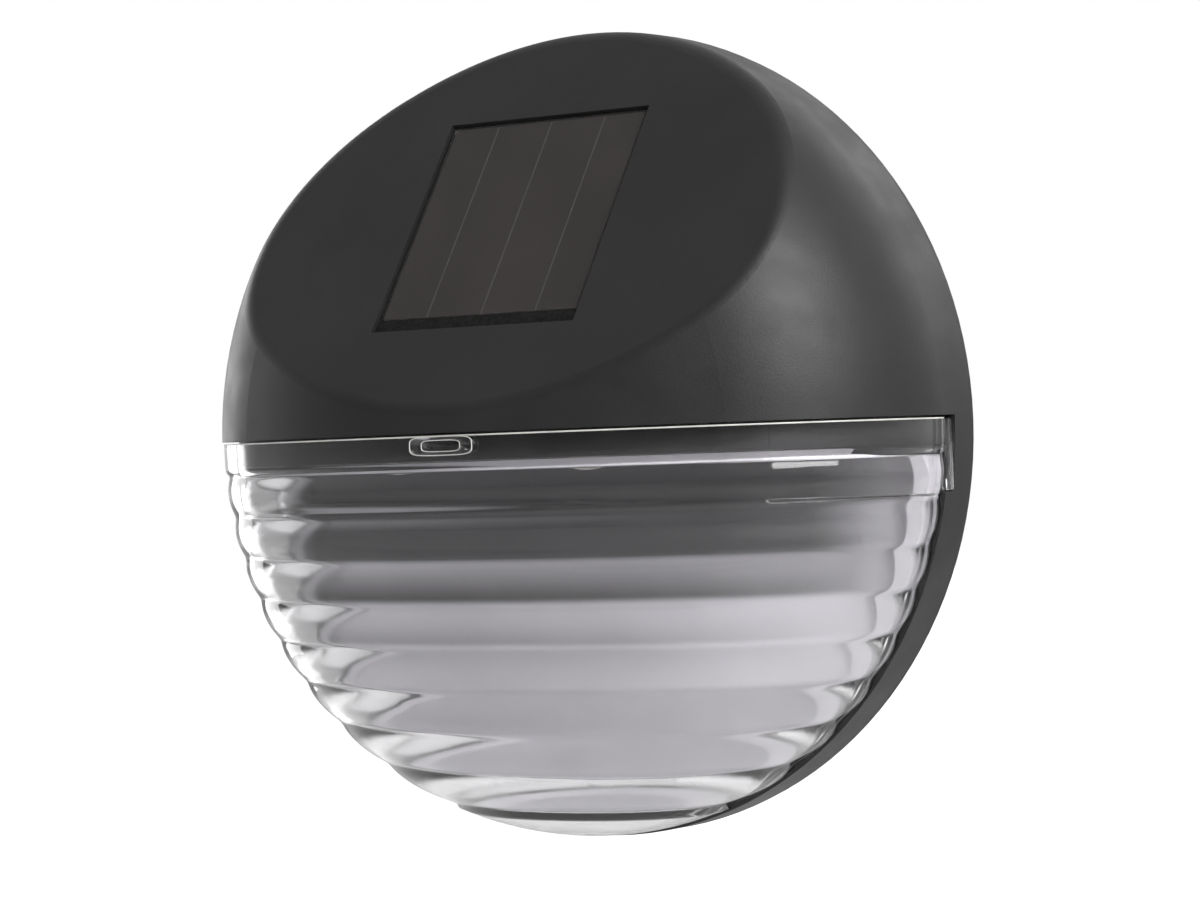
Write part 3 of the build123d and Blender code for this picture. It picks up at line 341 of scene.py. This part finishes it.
# Painted light: lighter towards the right end, and along the front rim near the top.
painted_end_light = ramp_of(tree, split.outputs["X"], 30 * MM, 47 * MM, ((0.0, 0.0), (0.5, 0.28), (1.0, 0.62)))
rims = ramp_of(tree, split.outputs["Y"], -7.6 * MM, -8.0 * MM, ((0.0, 0.0), (1.0, 1.0)))
rim_light_fade = ramp_of(
    tree, split.outputs["Z"], -3 * MM, -9 * MM,
    ((0.0, 1.0), (0.14, 1.0), (0.2, 0.0), (0.34, 0.0), (0.44, 0.8), (1.0, 0.7)),
)
painted_rim_light = tree.nodes.new("ShaderNodeMath")
painted_rim_light.operation = "MULTIPLY"
tree.links.new(rims, painted_rim_light.inputs[0])
tree.links.new(rim_light_fade, painted_rim_light.inputs[1])
painted_shade_and_light = painted_top_shade
for share in (painted_end_light, painted_rim_light.outputs["Value"]):
    lighter = tree.nodes.new("ShaderNodeMix")
    lighter.data_type, lighter.blend_type = "RGBA", "LIGHTEN"
    lighter.inputs["Factor"].default_value = 1.0
    tree.links.new(painted_shade_and_light, lighter.inputs["A"])
    tree.links.new(share, lighter.inputs["B"])
    painted_shade_and_light = lighter.outputs["Result"]
# The pale colour is scaled by the painted shade and the painted light.
painted_tray_colour = tree.nodes.new("ShaderNodeMix")
painted_tray_colour.data_type, painted_tray_colour.blend_type = "RGBA", "MULTIPLY"
painted_tray_colour.inputs["Factor"].default_value = 1.0
tree.links.new(shader.inputs["Base Color"].links[0].from_socket, painted_tray_colour.inputs["A"])
tree.links.new(painted_shade_and_light, painted_tray_colour.inputs["B"])
tree.links.new(painted_tray_colour.outputs["Result"], shader.inputs["Base Color"])
dress(bright_tray, "reflector")


# %% [markdown]
# ## The ribbed lens
# Eight shallow ribs run round the lens, one under the other, and bend whatever is behind them. A
# bump map would not bend the view through the lens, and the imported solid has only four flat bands
# to a rib. So the lens is woven from rows of points: each row is a level slice of the dome, drawn
# in by the rib's depth at that height. A smooth inner skin and the edges between close it.


# %% The dome's profile
RIM_RADIUS, DOME_DEPTH, SHOULDER, CROWN = 55.0, 42.0, 28.0, 97.0
DRAFT = math.radians(1.5)


def skin_radius(depth, inset):
    """Radius of the dome at a depth from the wall, in millimetres, for a skin that lies inside it."""
    arc, crown = SHOULDER - inset, CROWN - inset
    if depth < arc_depth + arc * math.sin(DRAFT):
        return RIM_RADIUS - inset / math.cos(DRAFT) - depth * math.tan(DRAFT)
    if depth < crown_back + crown * math.cos(crown_turn):
        return arc_height + math.sqrt(arc**2 - (depth - arc_depth) ** 2)
    return math.sqrt(max(crown**2 - (depth - crown_back) ** 2, 0))


def skin_reach(radius, inset):
    """Depth of the same skin at a radius."""
    arc, crown = SHOULDER - inset, CROWN - inset
    if radius < crown * math.sin(crown_turn):
        return crown_back + math.sqrt(crown**2 - radius**2)
    return arc_depth + math.sqrt(max(arc**2 - (radius - arc_height) ** 2, 0))


# the shoulder's arc touches the drafted wall and the crown: its middle solves a quadratic
crown_back = DOME_DEPTH - CROWN
slope = math.tan(DRAFT)
far_in = RIM_RADIUS - SHOULDER / math.cos(DRAFT)
half_b = crown_back + far_in * slope
under_root = half_b**2 - (1 + slope**2) * (crown_back**2 + far_in**2 - (CROWN - SHOULDER) ** 2)
arc_depth = (half_b + math.sqrt(under_root)) / (1 + slope**2)
arc_height = far_in - slope * arc_depth
crown_turn = math.atan2(arc_height, arc_depth - crown_back)
print("shoulder at depth", round(arc_depth, 2), "radius", round(arc_height, 2))

# %% [markdown]
# ## Rows of the lens
# The lip is plain, the ribs are arcs that meet in slightly rounded valleys, and the foot is smooth.
# Inside, a pad at each end of the lens stands a little out of the skin, and its edge shows from
# outside as a thin line. A pair of columns and a pair of rows lie close together there.

# %% Rows of the lens
LENS_TOP, RIBS_TOP, RIB_PITCH, RIBS, LENS_BACK = 0.4, -4.1, 5.73, 8, 7.4
RIB_DEPTH, LIP_FOOT, SKIN, INNER = 0.45, 0.16, 0.25, 2.05
ROWS_PER_RIB, COLUMNS = 20, 120
PAD_DEPTH, PAD_LOW, PAD_RISE = 30.0, -9.0, 0.2


def rib_draw(height):
    """How far the outer skin is drawn in at a height: arcs that meet in slightly rounded valleys."""
    turn = (RIBS_TOP - height) / RIB_PITCH
    if turn > RIBS or turn < -LIP_FOOT:
        return SKIN
    off, flat = abs(2 * (turn % 1) - 1), 0.82
    if off < flat:
        share = off**2 / flat
    else:
        share = (flat**2 + 2 * flat * (off - flat) - flat / (1 - flat) * (off - flat) ** 2) / flat
    if turn < 0:
        share = (1 + turn / LIP_FOOT) ** 2
    return SKIN + RIB_DEPTH * share


def turns():
    """Where the columns stand, from -1 to 1 round the front, with a pair at each pad's edge."""
    pad = math.acos((PAD_DEPTH - LENS_BACK) / (skin_reach(4.5, INNER) - LENS_BACK)) * 2 / math.pi
    even = [2 * i / COLUMNS - 1 for i in range(COLUMNS + 1)]
    return sorted(even + [side * (pad + off) for side in (-1, 1) for off in (-0.0015, 0.0015)]), pad


COLUMN_TURNS, PAD_TURN = turns()


def level_row(height, inset, pad=0.0):
    """Points of one level slice, from the left edge round the front to the right edge."""
    row = []
    for turn in COLUMN_TURNS:
        deep = inset + (pad if abs(turn) > PAD_TURN else 0.0)
        reach = skin_reach(abs(height), deep) - LENS_BACK
        depth = LENS_BACK + max(reach, 0) * math.cos(turn * math.pi / 2)
        half = math.sqrt(max(skin_radius(depth, deep) ** 2 - height**2, 0))
        row.append(Vector((math.copysign(half, turn) if turn else 0, -depth, height)) * MM)
    return row


def lens_heights():
    """Heights of the rows: a plain lip, the ribs, and a smooth foot."""
    heights = [LENS_TOP, LENS_TOP - 0.2, LENS_TOP - 0.8, LENS_TOP - 1.5]
    start, count = RIBS_TOP + RIB_PITCH / 2, int((RIBS + 0.5) * ROWS_PER_RIB)
    heights += [start - i * RIB_PITCH / ROWS_PER_RIB for i in range(count + 1)]
    foot, lowest = heights[-1], -skin_radius(LENS_BACK, SKIN)
    heights += [foot + (lowest - foot) * math.sin(i / 12 * math.pi / 2) for i in range(1, 13)]
    return heights


def inner_heights(heights):
    """Heights of the inner skin's rows: as many, evenly, with two close ones at the pads' foot."""
    lowest = -skin_radius(LENS_BACK, INNER)
    spread = [LENS_TOP + (lowest - LENS_TOP) * i / (len(heights) - 1) for i in range(len(heights))]
    foot = min(range(len(spread)), key=lambda i: abs(spread[i] - PAD_LOW))
    spread[foot], spread[foot + 1] = PAD_LOW + 0.03, PAD_LOW - 0.03
    return spread


def weave_lens(built):
    """Outer and inner skin, joined along the top, the foot and both ends."""
    heights = lens_heights()
    skins = []
    for inner in (False, True):
        rows = []
        for height in inner_heights(heights) if inner else heights:
            pad = PAD_RISE if inner and height > PAD_LOW else 0.0
            points = level_row(height, INNER if inner else rib_draw(height), pad)
            rows.append([built.verts.new(p) for p in points])
        skins.append(rows)
        for above, below in zip(rows, rows[1:]):
            for i in range(len(above) - 1):
                built.faces.new((above[i], above[i + 1], below[i + 1], below[i]))
    outer, inner = skins
    for i in range(len(outer[0]) - 1):
        built.faces.new((outer[0][i], inner[0][i], inner[0][i + 1], outer[0][i + 1]))
        built.faces.new((outer[-1][i + 1], inner[-1][i + 1], inner[-1][i], outer[-1][i]))
    for k in range(len(outer) - 1):
        built.faces.new((outer[k][0], outer[k + 1][0], inner[k + 1][0], inner[k][0]))
        built.faces.new((inner[k][-1], inner[k + 1][-1], outer[k + 1][-1], outer[k][-1]))
    bmesh.ops.remove_doubles(built, verts=built.verts, dist=0.000004)


ribbed_lens = piece("ribbed_lens", weave_lens, lens_clear, "shell")
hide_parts("lens")
print("lens:", len(ribbed_lens.data.polygons), "faces")


# %% [markdown]
# ## What is moulded onto the lens, and its painted highlights
# At each end a square lug closes the gap to the ring, and in the middle of the lip is a catch with
# a pocket. The lugs are blocks with bevelled edges. The catch, and the pale beads round it and along
# the lens's top edge, are built from rings of points instead, since their outlines are rounded. The
# beads are painted highlights: a pale opaque finish where the clear edges catch the light.


# %% Lugs and catch
def eased_block(built, low, high, ease):
    """A block between two corners in millimetres, with rounded edges."""
    made = bmesh.ops.create_cube(built, size=1.0)
    middle = [(a + b) / 2 for a, b in zip(low, high)]
    size = [abs(b - a) for a, b in zip(low, high)]
    shape = Matrix.Translation(Vector(middle) * MM) @ Matrix.Diagonal((*[s * MM for s in size], 1))
    bmesh.ops.transform(built, matrix=shape, verts=made["verts"])
    edges = [e for e in built.edges if all(v in made["verts"] for v in e.verts)]
    bmesh.ops.bevel(built, geom=edges, offset=ease * MM, segments=2, affect="EDGES", profile=0.5)


def end_lugs(built):
    """A lug at each end of the lens."""
    for side in (-1, 1):
        eased_block(built, (side * 53.25, -8.2, -8.9), (side * 54.55, -6.0, 0.3), 0.2)


CATCH_LEVEL, CATCH_POINTS, BEAD_POINTS = -0.95, 48, 64


def rounded(count, power):
    """Points of a rounded oblong of half width and half height one: a low power squares it."""
    for k in range(count):
        x, z = math.cos(2 * math.pi * k / count), math.sin(2 * math.pi * k / count)
        yield math.copysign(abs(x) ** power, x), math.copysign(abs(z) ** power, z)


def bridge(built, one, two):
    """Faces between two closed rings of points."""
    count = len(one)
    for k in range(count):
        built.faces.new((one[k], one[(k + 1) % count], two[(k + 1) % count], two[k]))


def oval_catch(built):
    """An oblong plate with a pocket, from widths, heights and depths of its rings."""
    rings = []
    for wide, tall, depth in (
        (5.0, 1.3, 39.9), (5.0, 1.3, 41.8), (4.6, 0.95, 41.95), (3.1, 0.8, 41.95), (2.9, 0.65, 41.3),
    ):
        rings.append([
            built.verts.new(Vector((x * wide, -depth, z * tall + CATCH_LEVEL)) * MM)
            for x, z in rounded(CATCH_POINTS, 0.55)
        ])
    for one, two in zip(rings, rings[1:]):
        bridge(built, one, two)
    built.faces.new(rings[0])
    built.faces.new(rings[-1])


def edge_line(built):
    """A fine rounded bead along the lens's top edge: a painted highlight in a pale opaque finish."""
    rings = []
    for point in level_row(0.0, SKIN - 0.01)[1:-1]:
        outward = Vector((point.x, point.y, 0)).normalized() * MM
        rings.append([
            built.verts.new(Vector((point.x, point.y, 0)) + outward * a + Vector((0, 0, b * MM)))
            for a, b in ((-0.05, 0.2), (0.0, 0.2), (0.03, 0.3), (0.0, 0.395), (-0.05, 0.395))
        ])
    for one, two in zip(rings, rings[1:]):
        bridge(built, one, two)


def catch_lines(built):
    """Fine rounded beads round the catch's plate and round its pocket: painted highlights on its
    edges.
    """
    section = ((-0.06, 41.86), (-0.03, 41.97), (0.03, 41.97), (0.06, 41.86))
    for wide, tall in ((4.85, 1.2), (3.0, 0.72)):
        rings = [
            [
                built.verts.new(Vector((x * (wide + a), -depth, z * (tall + a) + CATCH_LEVEL)) * MM)
                for a, depth in section
            ]
            for x, z in rounded(BEAD_POINTS, 0.45)
        ]
        for one, two in zip(rings, rings[1:] + rings[:1]):
            bridge(built, one, two)


# A pale opaque finish that paints the highlights on the lens's clear edges.
edge_highlight_paint = finish(
    "edge_highlight_paint", (0.5, 0.49, 0.47), (0.66, 0.65, 0.62), (0.3, 0.5), cloud=400, grain=1500,
    depth=0.00001, Specular_IOR_Level=0.6,
)
lens_edge = piece("lens_edge", edge_line, edge_highlight_paint, "shell")
lens_lugs = piece("lens_lugs", end_lugs, lens_clear, "shell")
lens_catch = piece("lens_catch", oval_catch, lens_clear, "shell")
catch_beads = piece("catch_beads", catch_lines, edge_highlight_paint, "shell")
print("on the lens:", lens_lugs.name, lens_catch.name, catch_beads.name)

# %% [markdown]
# ## Metal, card, rubber and wires
# Inside the light and on its back are small everyday pieces: zinc-plated screws, tinned legs, a
# green board, a battery in its sleeve. Each keeps its solid and gets a finish at its own scale.

# %% Small finishes
zinc = finish("zinc_plate", (0.5, 0.5, 0.5), (0.62, 0.62, 0.6), (0.25, 0.42), cloud=900, grain=2500,
              depth=0.00001, Metallic=1.0)
nickel = finish("nickel_plate", (0.6, 0.58, 0.54), (0.7, 0.67, 0.62), (0.16, 0.3), cloud=500,
                grain=1800, depth=0.000006, Metallic=1.0)
tinned = finish("tinned_steel", (0.62, 0.62, 0.61), (0.74, 0.74, 0.72), (0.2, 0.38), cloud=1500,
                grain=4000, depth=0.000006, Metallic=1.0)
board_green = finish("board_green", (0.008, 0.06, 0.025), (0.015, 0.1, 0.04), (0.28, 0.42), cloud=400,
                     grain=2200, depth=0.00001, Coat_Weight=0.4)
part_black = finish("part_black", (0.01, 0.01, 0.01), (0.022, 0.022, 0.022), (0.4, 0.6), cloud=800,
                    grain=3500, depth=0.00001)
lacquer = finish("lacquer_beige", (0.42, 0.29, 0.15), (0.52, 0.37, 0.2), (0.25, 0.4), cloud=900,
                 grain=2600, depth=0.00001)
phenolic = finish("phenolic_brown", (0.1, 0.045, 0.018), (0.16, 0.075, 0.03), (0.4, 0.6), cloud=700,
                  grain=2600, depth=0.00002)
card = finish("washer_card", (0.72, 0.71, 0.68), (0.8, 0.79, 0.77), (0.7, 0.9), cloud=900, grain=3000,
              depth=0.00002)
rubber = finish("seal_rubber", (0.008, 0.008, 0.008), (0.016, 0.016, 0.016), (0.6, 0.85), cloud=500,
                grain=1800, depth=0.00002)
vinyl_red = finish("vinyl_red", (0.36, 0.01, 0.008), (0.48, 0.02, 0.015), (0.3, 0.45), cloud=300,
                   grain=1200, depth=0.00001)
vinyl_black = finish("vinyl_black", (0.012, 0.012, 0.012), (0.02, 0.02, 0.02), (0.3, 0.45), cloud=300,
                     grain=1200, depth=0.00001)
dress(zinc, "cover_screws", "door_screws", "board_screws")
dress(nickel, "contact_positive", "contact_spring", "switch_frame", "battery_cap")
dress(tinned, "led_leads_left", "led_leads_right", "switch_pins")
dress(board_green, "circuit_board")
dress(part_black, "driver_chip", "choke")
dress(lacquer, "resistor")
dress(phenolic, "switch_base")
dress(card, "battery_insulator")
dress(rubber, "rear_seal", "door_seal")
dress(vinyl_red, "panel_wire_red", "battery_wire_red", "switch_wires")
dress(vinyl_black, "panel_wire_black", "battery_wire_black")
print("small finishes:", sum(1 for m in bpy.data.materials if m.use_nodes))

# %% [markdown]
# ## The battery's sleeve
# A rechargeable cell wears a shrunk sleeve: one colour along its length, a pale band near the plus
# end, and bare metal at the rims. The bands follow the cell's length, which lies along X, so a
# stepped ramp on that coordinate paints them and nothing has to be unwrapped.

# %% Banded sleeve
sleeve = finish("cell_sleeve", (0.02, 0.16, 0.05), (0.03, 0.2, 0.07), (0.25, 0.4), cloud=150,
                grain=700, depth=0.00001, Coat_Weight=0.3)
tree = sleeve.node_tree
shader = tree.nodes["Principled BSDF"]
place = tree.nodes.new("ShaderNodeTexCoord")
split = tree.nodes.new("ShaderNodeSeparateXYZ")
bands = tree.nodes.new("ShaderNodeMapRange")
ramp = tree.nodes.new("ShaderNodeValToRGB")
mix = tree.nodes.new("ShaderNodeMix")
mix.data_type = "RGBA"
low_x, high_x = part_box("battery_body")[0].x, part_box("battery_body")[1].x
bands.inputs["From Min"].default_value = low_x
bands.inputs["From Max"].default_value = high_x
ramp.color_ramp.interpolation = "CONSTANT"
ramp.color_ramp.elements[0].color = (1, 1, 1, 1)
ramp.color_ramp.elements[1].position = 0.02
ramp.color_ramp.elements[1].color = (0, 0, 0, 1)
for position, level in ((0.8, 1), (0.9, 0), (0.985, 1)):
    step = ramp.color_ramp.elements.new(position)
    step.color = (level, level, level, 1)
cloudy = shader.inputs["Base Color"].links[0].from_socket
tree.links.new(place.outputs["Object"], split.inputs["Vector"])
tree.links.new(split.outputs["X"], bands.inputs["Value"])
tree.links.new(bands.outputs["Result"], ramp.inputs["Fac"])
tree.links.new(ramp.outputs["Color"], mix.inputs["Factor"])
tree.links.new(cloudy, mix.inputs["A"])
mix.inputs["B"].default_value = (0.62, 0.61, 0.58, 1)
tree.links.new(mix.outputs["Result"], shader.inputs["Base Color"])
dress(sleeve, "battery_body")
print("sleeve from x", round(low_x / MM, 1), "to", round(high_x / MM, 1), "mm")


# %% [markdown]
# ## ON and OFF beside the switch
# The switch is worked from behind through a small window. Two small words tell its ends apart.
# They are printed, so each is a text turned to face the wall, as thin as paint.


# %% Words by the switch
def word(text, x, z):
    """A flat printed word on the rear cover, at a place in millimetres."""
    curve = bpy.data.curves.new("mark_" + text.lower(), "FONT")
    curve.body = text
    curve.size = 2.6 * MM
    curve.extrude = 0.01 * MM
    curve.align_x, curve.align_y = "CENTER", "CENTER"
    made = bpy.data.objects.new("mark_" + text.lower(), curve)
    bpy.context.scene.collection.objects.link(made)
    made.matrix_world = Matrix.Translation(Vector((x, -0.005, z)) * MM) @ Matrix(
        ((-1, 0, 0, 0), (0, 0, 1, 0), (0, 1, 0, 0), (0, 0, 0, 1))
    )
    curve.materials.append(mark_white)
    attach(made, "shell")
    return made


mark_white = finish("mark_white", (0.45, 0.45, 0.45), (0.6, 0.6, 0.6), (0.5, 0.7), cloud=900,
                    grain=3000, depth=0.000004)
marks = [word("OFF", 15.4, 31.0), word("ON", 24.6, 31.0)]
print("marks:", [m.name for m in marks])

# %% [markdown]
# ## Floor, light and camera
# The photograph shows the light against plain white. The room is white to the camera. Through
# clear plastic it is dimmer, as the lens shows grey and not white at its ends. Gloss sees a room
# that is white behind the object and dim in front, where a studio keeps dark cloth.

# %% White surroundings
def seen_by(tree, *rays):
    """One where the ray is any of the named kinds."""
    path = tree.nodes.new("ShaderNodeLightPath")
    found = path.outputs[rays[0]]
    for ray in rays[1:]:
        either = tree.nodes.new("ShaderNodeMath")
        either.operation = "MAXIMUM"
        tree.links.new(found, either.inputs[0])
        tree.links.new(path.outputs[ray], either.inputs[1])
        found = either.outputs["Value"]
    return found


def swap(tree, factor, first, second):
    """A shader that is the first, or the second where the factor is one."""
    mix = tree.nodes.new("ShaderNodeMixShader")
    tree.links.new(factor, mix.inputs["Fac"])
    tree.links.new(first, mix.inputs[1])
    tree.links.new(second, mix.inputs[2])
    return mix.outputs["Shader"]


def glow(tree, strength, kind="ShaderNodeBackground"):
    """Plain white of a strength."""
    light = tree.nodes.new(kind)
    light.inputs["Color"].default_value = (1, 1, 1, 1)
    light.inputs["Strength"].default_value = strength
    return light.outputs[0]


def back_to_front(tree, front, behind):
    """A room whose white fades from behind the object, at +Y, to the front."""
    way = tree.nodes.new("ShaderNodeTexCoord")
    parts = tree.nodes.new("ShaderNodeSeparateXYZ")
    fade = tree.nodes.new("ShaderNodeMapRange")
    fade.inputs["From Min"].default_value = -1.0
    fade.inputs["To Min"].default_value = front
    fade.inputs["To Max"].default_value = behind
    tree.links.new(way.outputs["Generated"], parts.inputs["Vector"])
    tree.links.new(parts.outputs["Y"], fade.inputs["Value"])
    room = tree.nodes.new("ShaderNodeBackground")
    tree.links.new(fade.outputs["Result"], room.inputs["Strength"])
    return room.outputs[0]


def sum_of(tree, *values):
    """The sum of some numbers, at most one."""
    total = values[0]
    for value in values[1:]:
        added = tree.nodes.new("ShaderNodeMath")
        added.use_clamp = True
        tree.links.new(total, added.inputs[0])
        tree.links.new(value, added.inputs[1])
        total = added.outputs["Value"]
    return total


world = bpy.data.worlds.new("white_room")
world.use_nodes = True
bpy.context.scene.world = world
tree = world.node_tree
path = tree.nodes.new("ShaderNodeLightPath")
indirect = sum_of(tree, path.outputs["Diffuse Depth"], path.outputs["Glossy Depth"])
straight = tree.nodes.new("ShaderNodeMath")
straight.operation = "SUBTRACT"
straight.use_clamp = True
tree.links.new(seen_by(tree, "Is Camera Ray", "Is Transmission Ray"), straight.inputs[0])
tree.links.new(indirect, straight.inputs[1])
glossy = sum_of(tree, path.outputs["Is Glossy Ray"], path.outputs["Glossy Depth"])
dim_sky = swap(tree, glossy, back_to_front(tree, 0.6, 0.6), back_to_front(tree, 0.1, 1.0))
through_lens = swap(tree, path.outputs["Is Transmission Ray"], glow(tree, 1.0), glow(tree, 0.4))
white_sky = swap(tree, straight.outputs["Value"], dim_sky, through_lens)
tree.links.new(white_sky, tree.nodes["World Output"].inputs["Surface"])
print("room:", world.name)

# %% [markdown]
# ## Floor
# The floor is pale and takes the lamps' light and the object's shadow. A glow of its own, which
# only the camera sees at full strength, brings it up to the white of the room.

# %% Floor
FLOOR_LEVEL, FLOOR_HALF = -0.3, 6.0
floor_pale = finish("floor_pale", (0.78, 0.78, 0.78), (0.8, 0.8, 0.8), (0.7, 0.8), cloud=3)
tree = floor_pale.node_tree
lit = tree.nodes["Principled BSDF"].outputs["BSDF"]


def brighter(tree, shader, strength):
    """A shader with some glow of its own."""
    both = tree.nodes.new("ShaderNodeAddShader")
    tree.links.new(shader, both.inputs[0])
    tree.links.new(glow(tree, strength, "ShaderNodeEmission"), both.inputs[1])
    return both.outputs["Shader"]


beyond = swap(tree, seen_by(tree, "Is Transmission Ray"), lit, brighter(tree, lit, 0.1))
to_eye = swap(tree, seen_by(tree, "Is Camera Ray"), beyond, brighter(tree, lit, 0.78))
tree.links.new(to_eye, tree.nodes["Material Output"].inputs["Surface"])
floor_mesh = bpy.data.meshes.new("studio_floor")
built = bmesh.new()
bmesh.ops.create_grid(built, x_segments=8, y_segments=8, size=FLOOR_HALF)
bmesh.ops.translate(built, verts=built.verts, vec=(0, 0, FLOOR_LEVEL))
built.to_mesh(floor_mesh)
built.free()
floor_mesh.materials.append(floor_pale)
studio_floor = bpy.data.objects.new("studio_floor", floor_mesh)
bpy.context.scene.collection.objects.link(studio_floor)
print("floor:", studio_floor.name)


# %% [markdown]
# ## Lamps
# The key lamp, right and above, draws the long highlight on the side. One lamp on the left lights
# the rim there, and a weak one behind and above lights the top edge.

# %% Lamps
def soft_lamp(name, place, aim, wide, tall, power):
    """A soft rectangular lamp that points at a place."""
    data = bpy.data.lights.new(name, "AREA")
    data.shape = "RECTANGLE"
    data.size, data.size_y, data.energy = wide, tall, power
    lamp = bpy.data.objects.new(name, data)
    bpy.context.scene.collection.objects.link(lamp)
    way = Vector(aim) - Vector(place)
    lamp.matrix_world = Matrix.Translation(place) @ way.to_track_quat("-Z", "Y").to_matrix().to_4x4()
    return lamp


lamps = [
    soft_lamp("key", (0.84, -0.5, 0.56), (0.03, -0.02, 0.01), 0.7, 0.55, 15),
    soft_lamp("rim", (-1.1, 0.3, 0.15), (0, -0.02, 0), 0.5, 0.9, 5),
    soft_lamp("back", (0.2, 0.95, 0.5), (0, -0.02, 0.02), 0.9, 0.6, 2.5),
]
print("lamps:", [lamp.name for lamp in lamps])

# %% [markdown]
# ## Camera
# The camera stands right of the middle at the object's own height, with a long lens, and leans by
# two degrees. Its numbers come from fitting the rim, the split line and the panel in the photo.

# %% Camera
PHOTO_WIDTH, SENSOR, FOCAL_PIXELS = 1200, 36.0, 3161.04
turn, rise, lean = math.radians(32.611), math.radians(0.071), math.radians(-2.079)
back = Vector((math.sin(turn) * math.cos(rise), -math.cos(turn) * math.cos(rise), math.sin(rise)))
right = (-back).cross(Vector((0, 0, 1))).normalized()
above = right.cross(-back)
across_view = right * math.cos(lean) + above * math.sin(lean)
up_view = above * math.cos(lean) - right * math.sin(lean)
stand = Vector((10.082, -20.0, -2.228)) * MM + back * 0.415376
camera_data = bpy.data.cameras.new("camera")
camera_data.sensor_width = SENSOR
camera_data.lens = FOCAL_PIXELS / PHOTO_WIDTH * SENSOR
camera_data.clip_start = 0.01
camera = bpy.data.objects.new("camera", camera_data)
bpy.context.scene.collection.objects.link(camera)
camera.matrix_world = Matrix.Translation(stand) @ Matrix(
    (across_view, up_view, back)
).transposed().to_4x4()
bpy.context.scene.camera = camera
bpy.context.scene.view_settings.view_transform = "Standard"
print("camera", round(camera_data.lens, 2), "mm at", [round(v, 3) for v in stand])
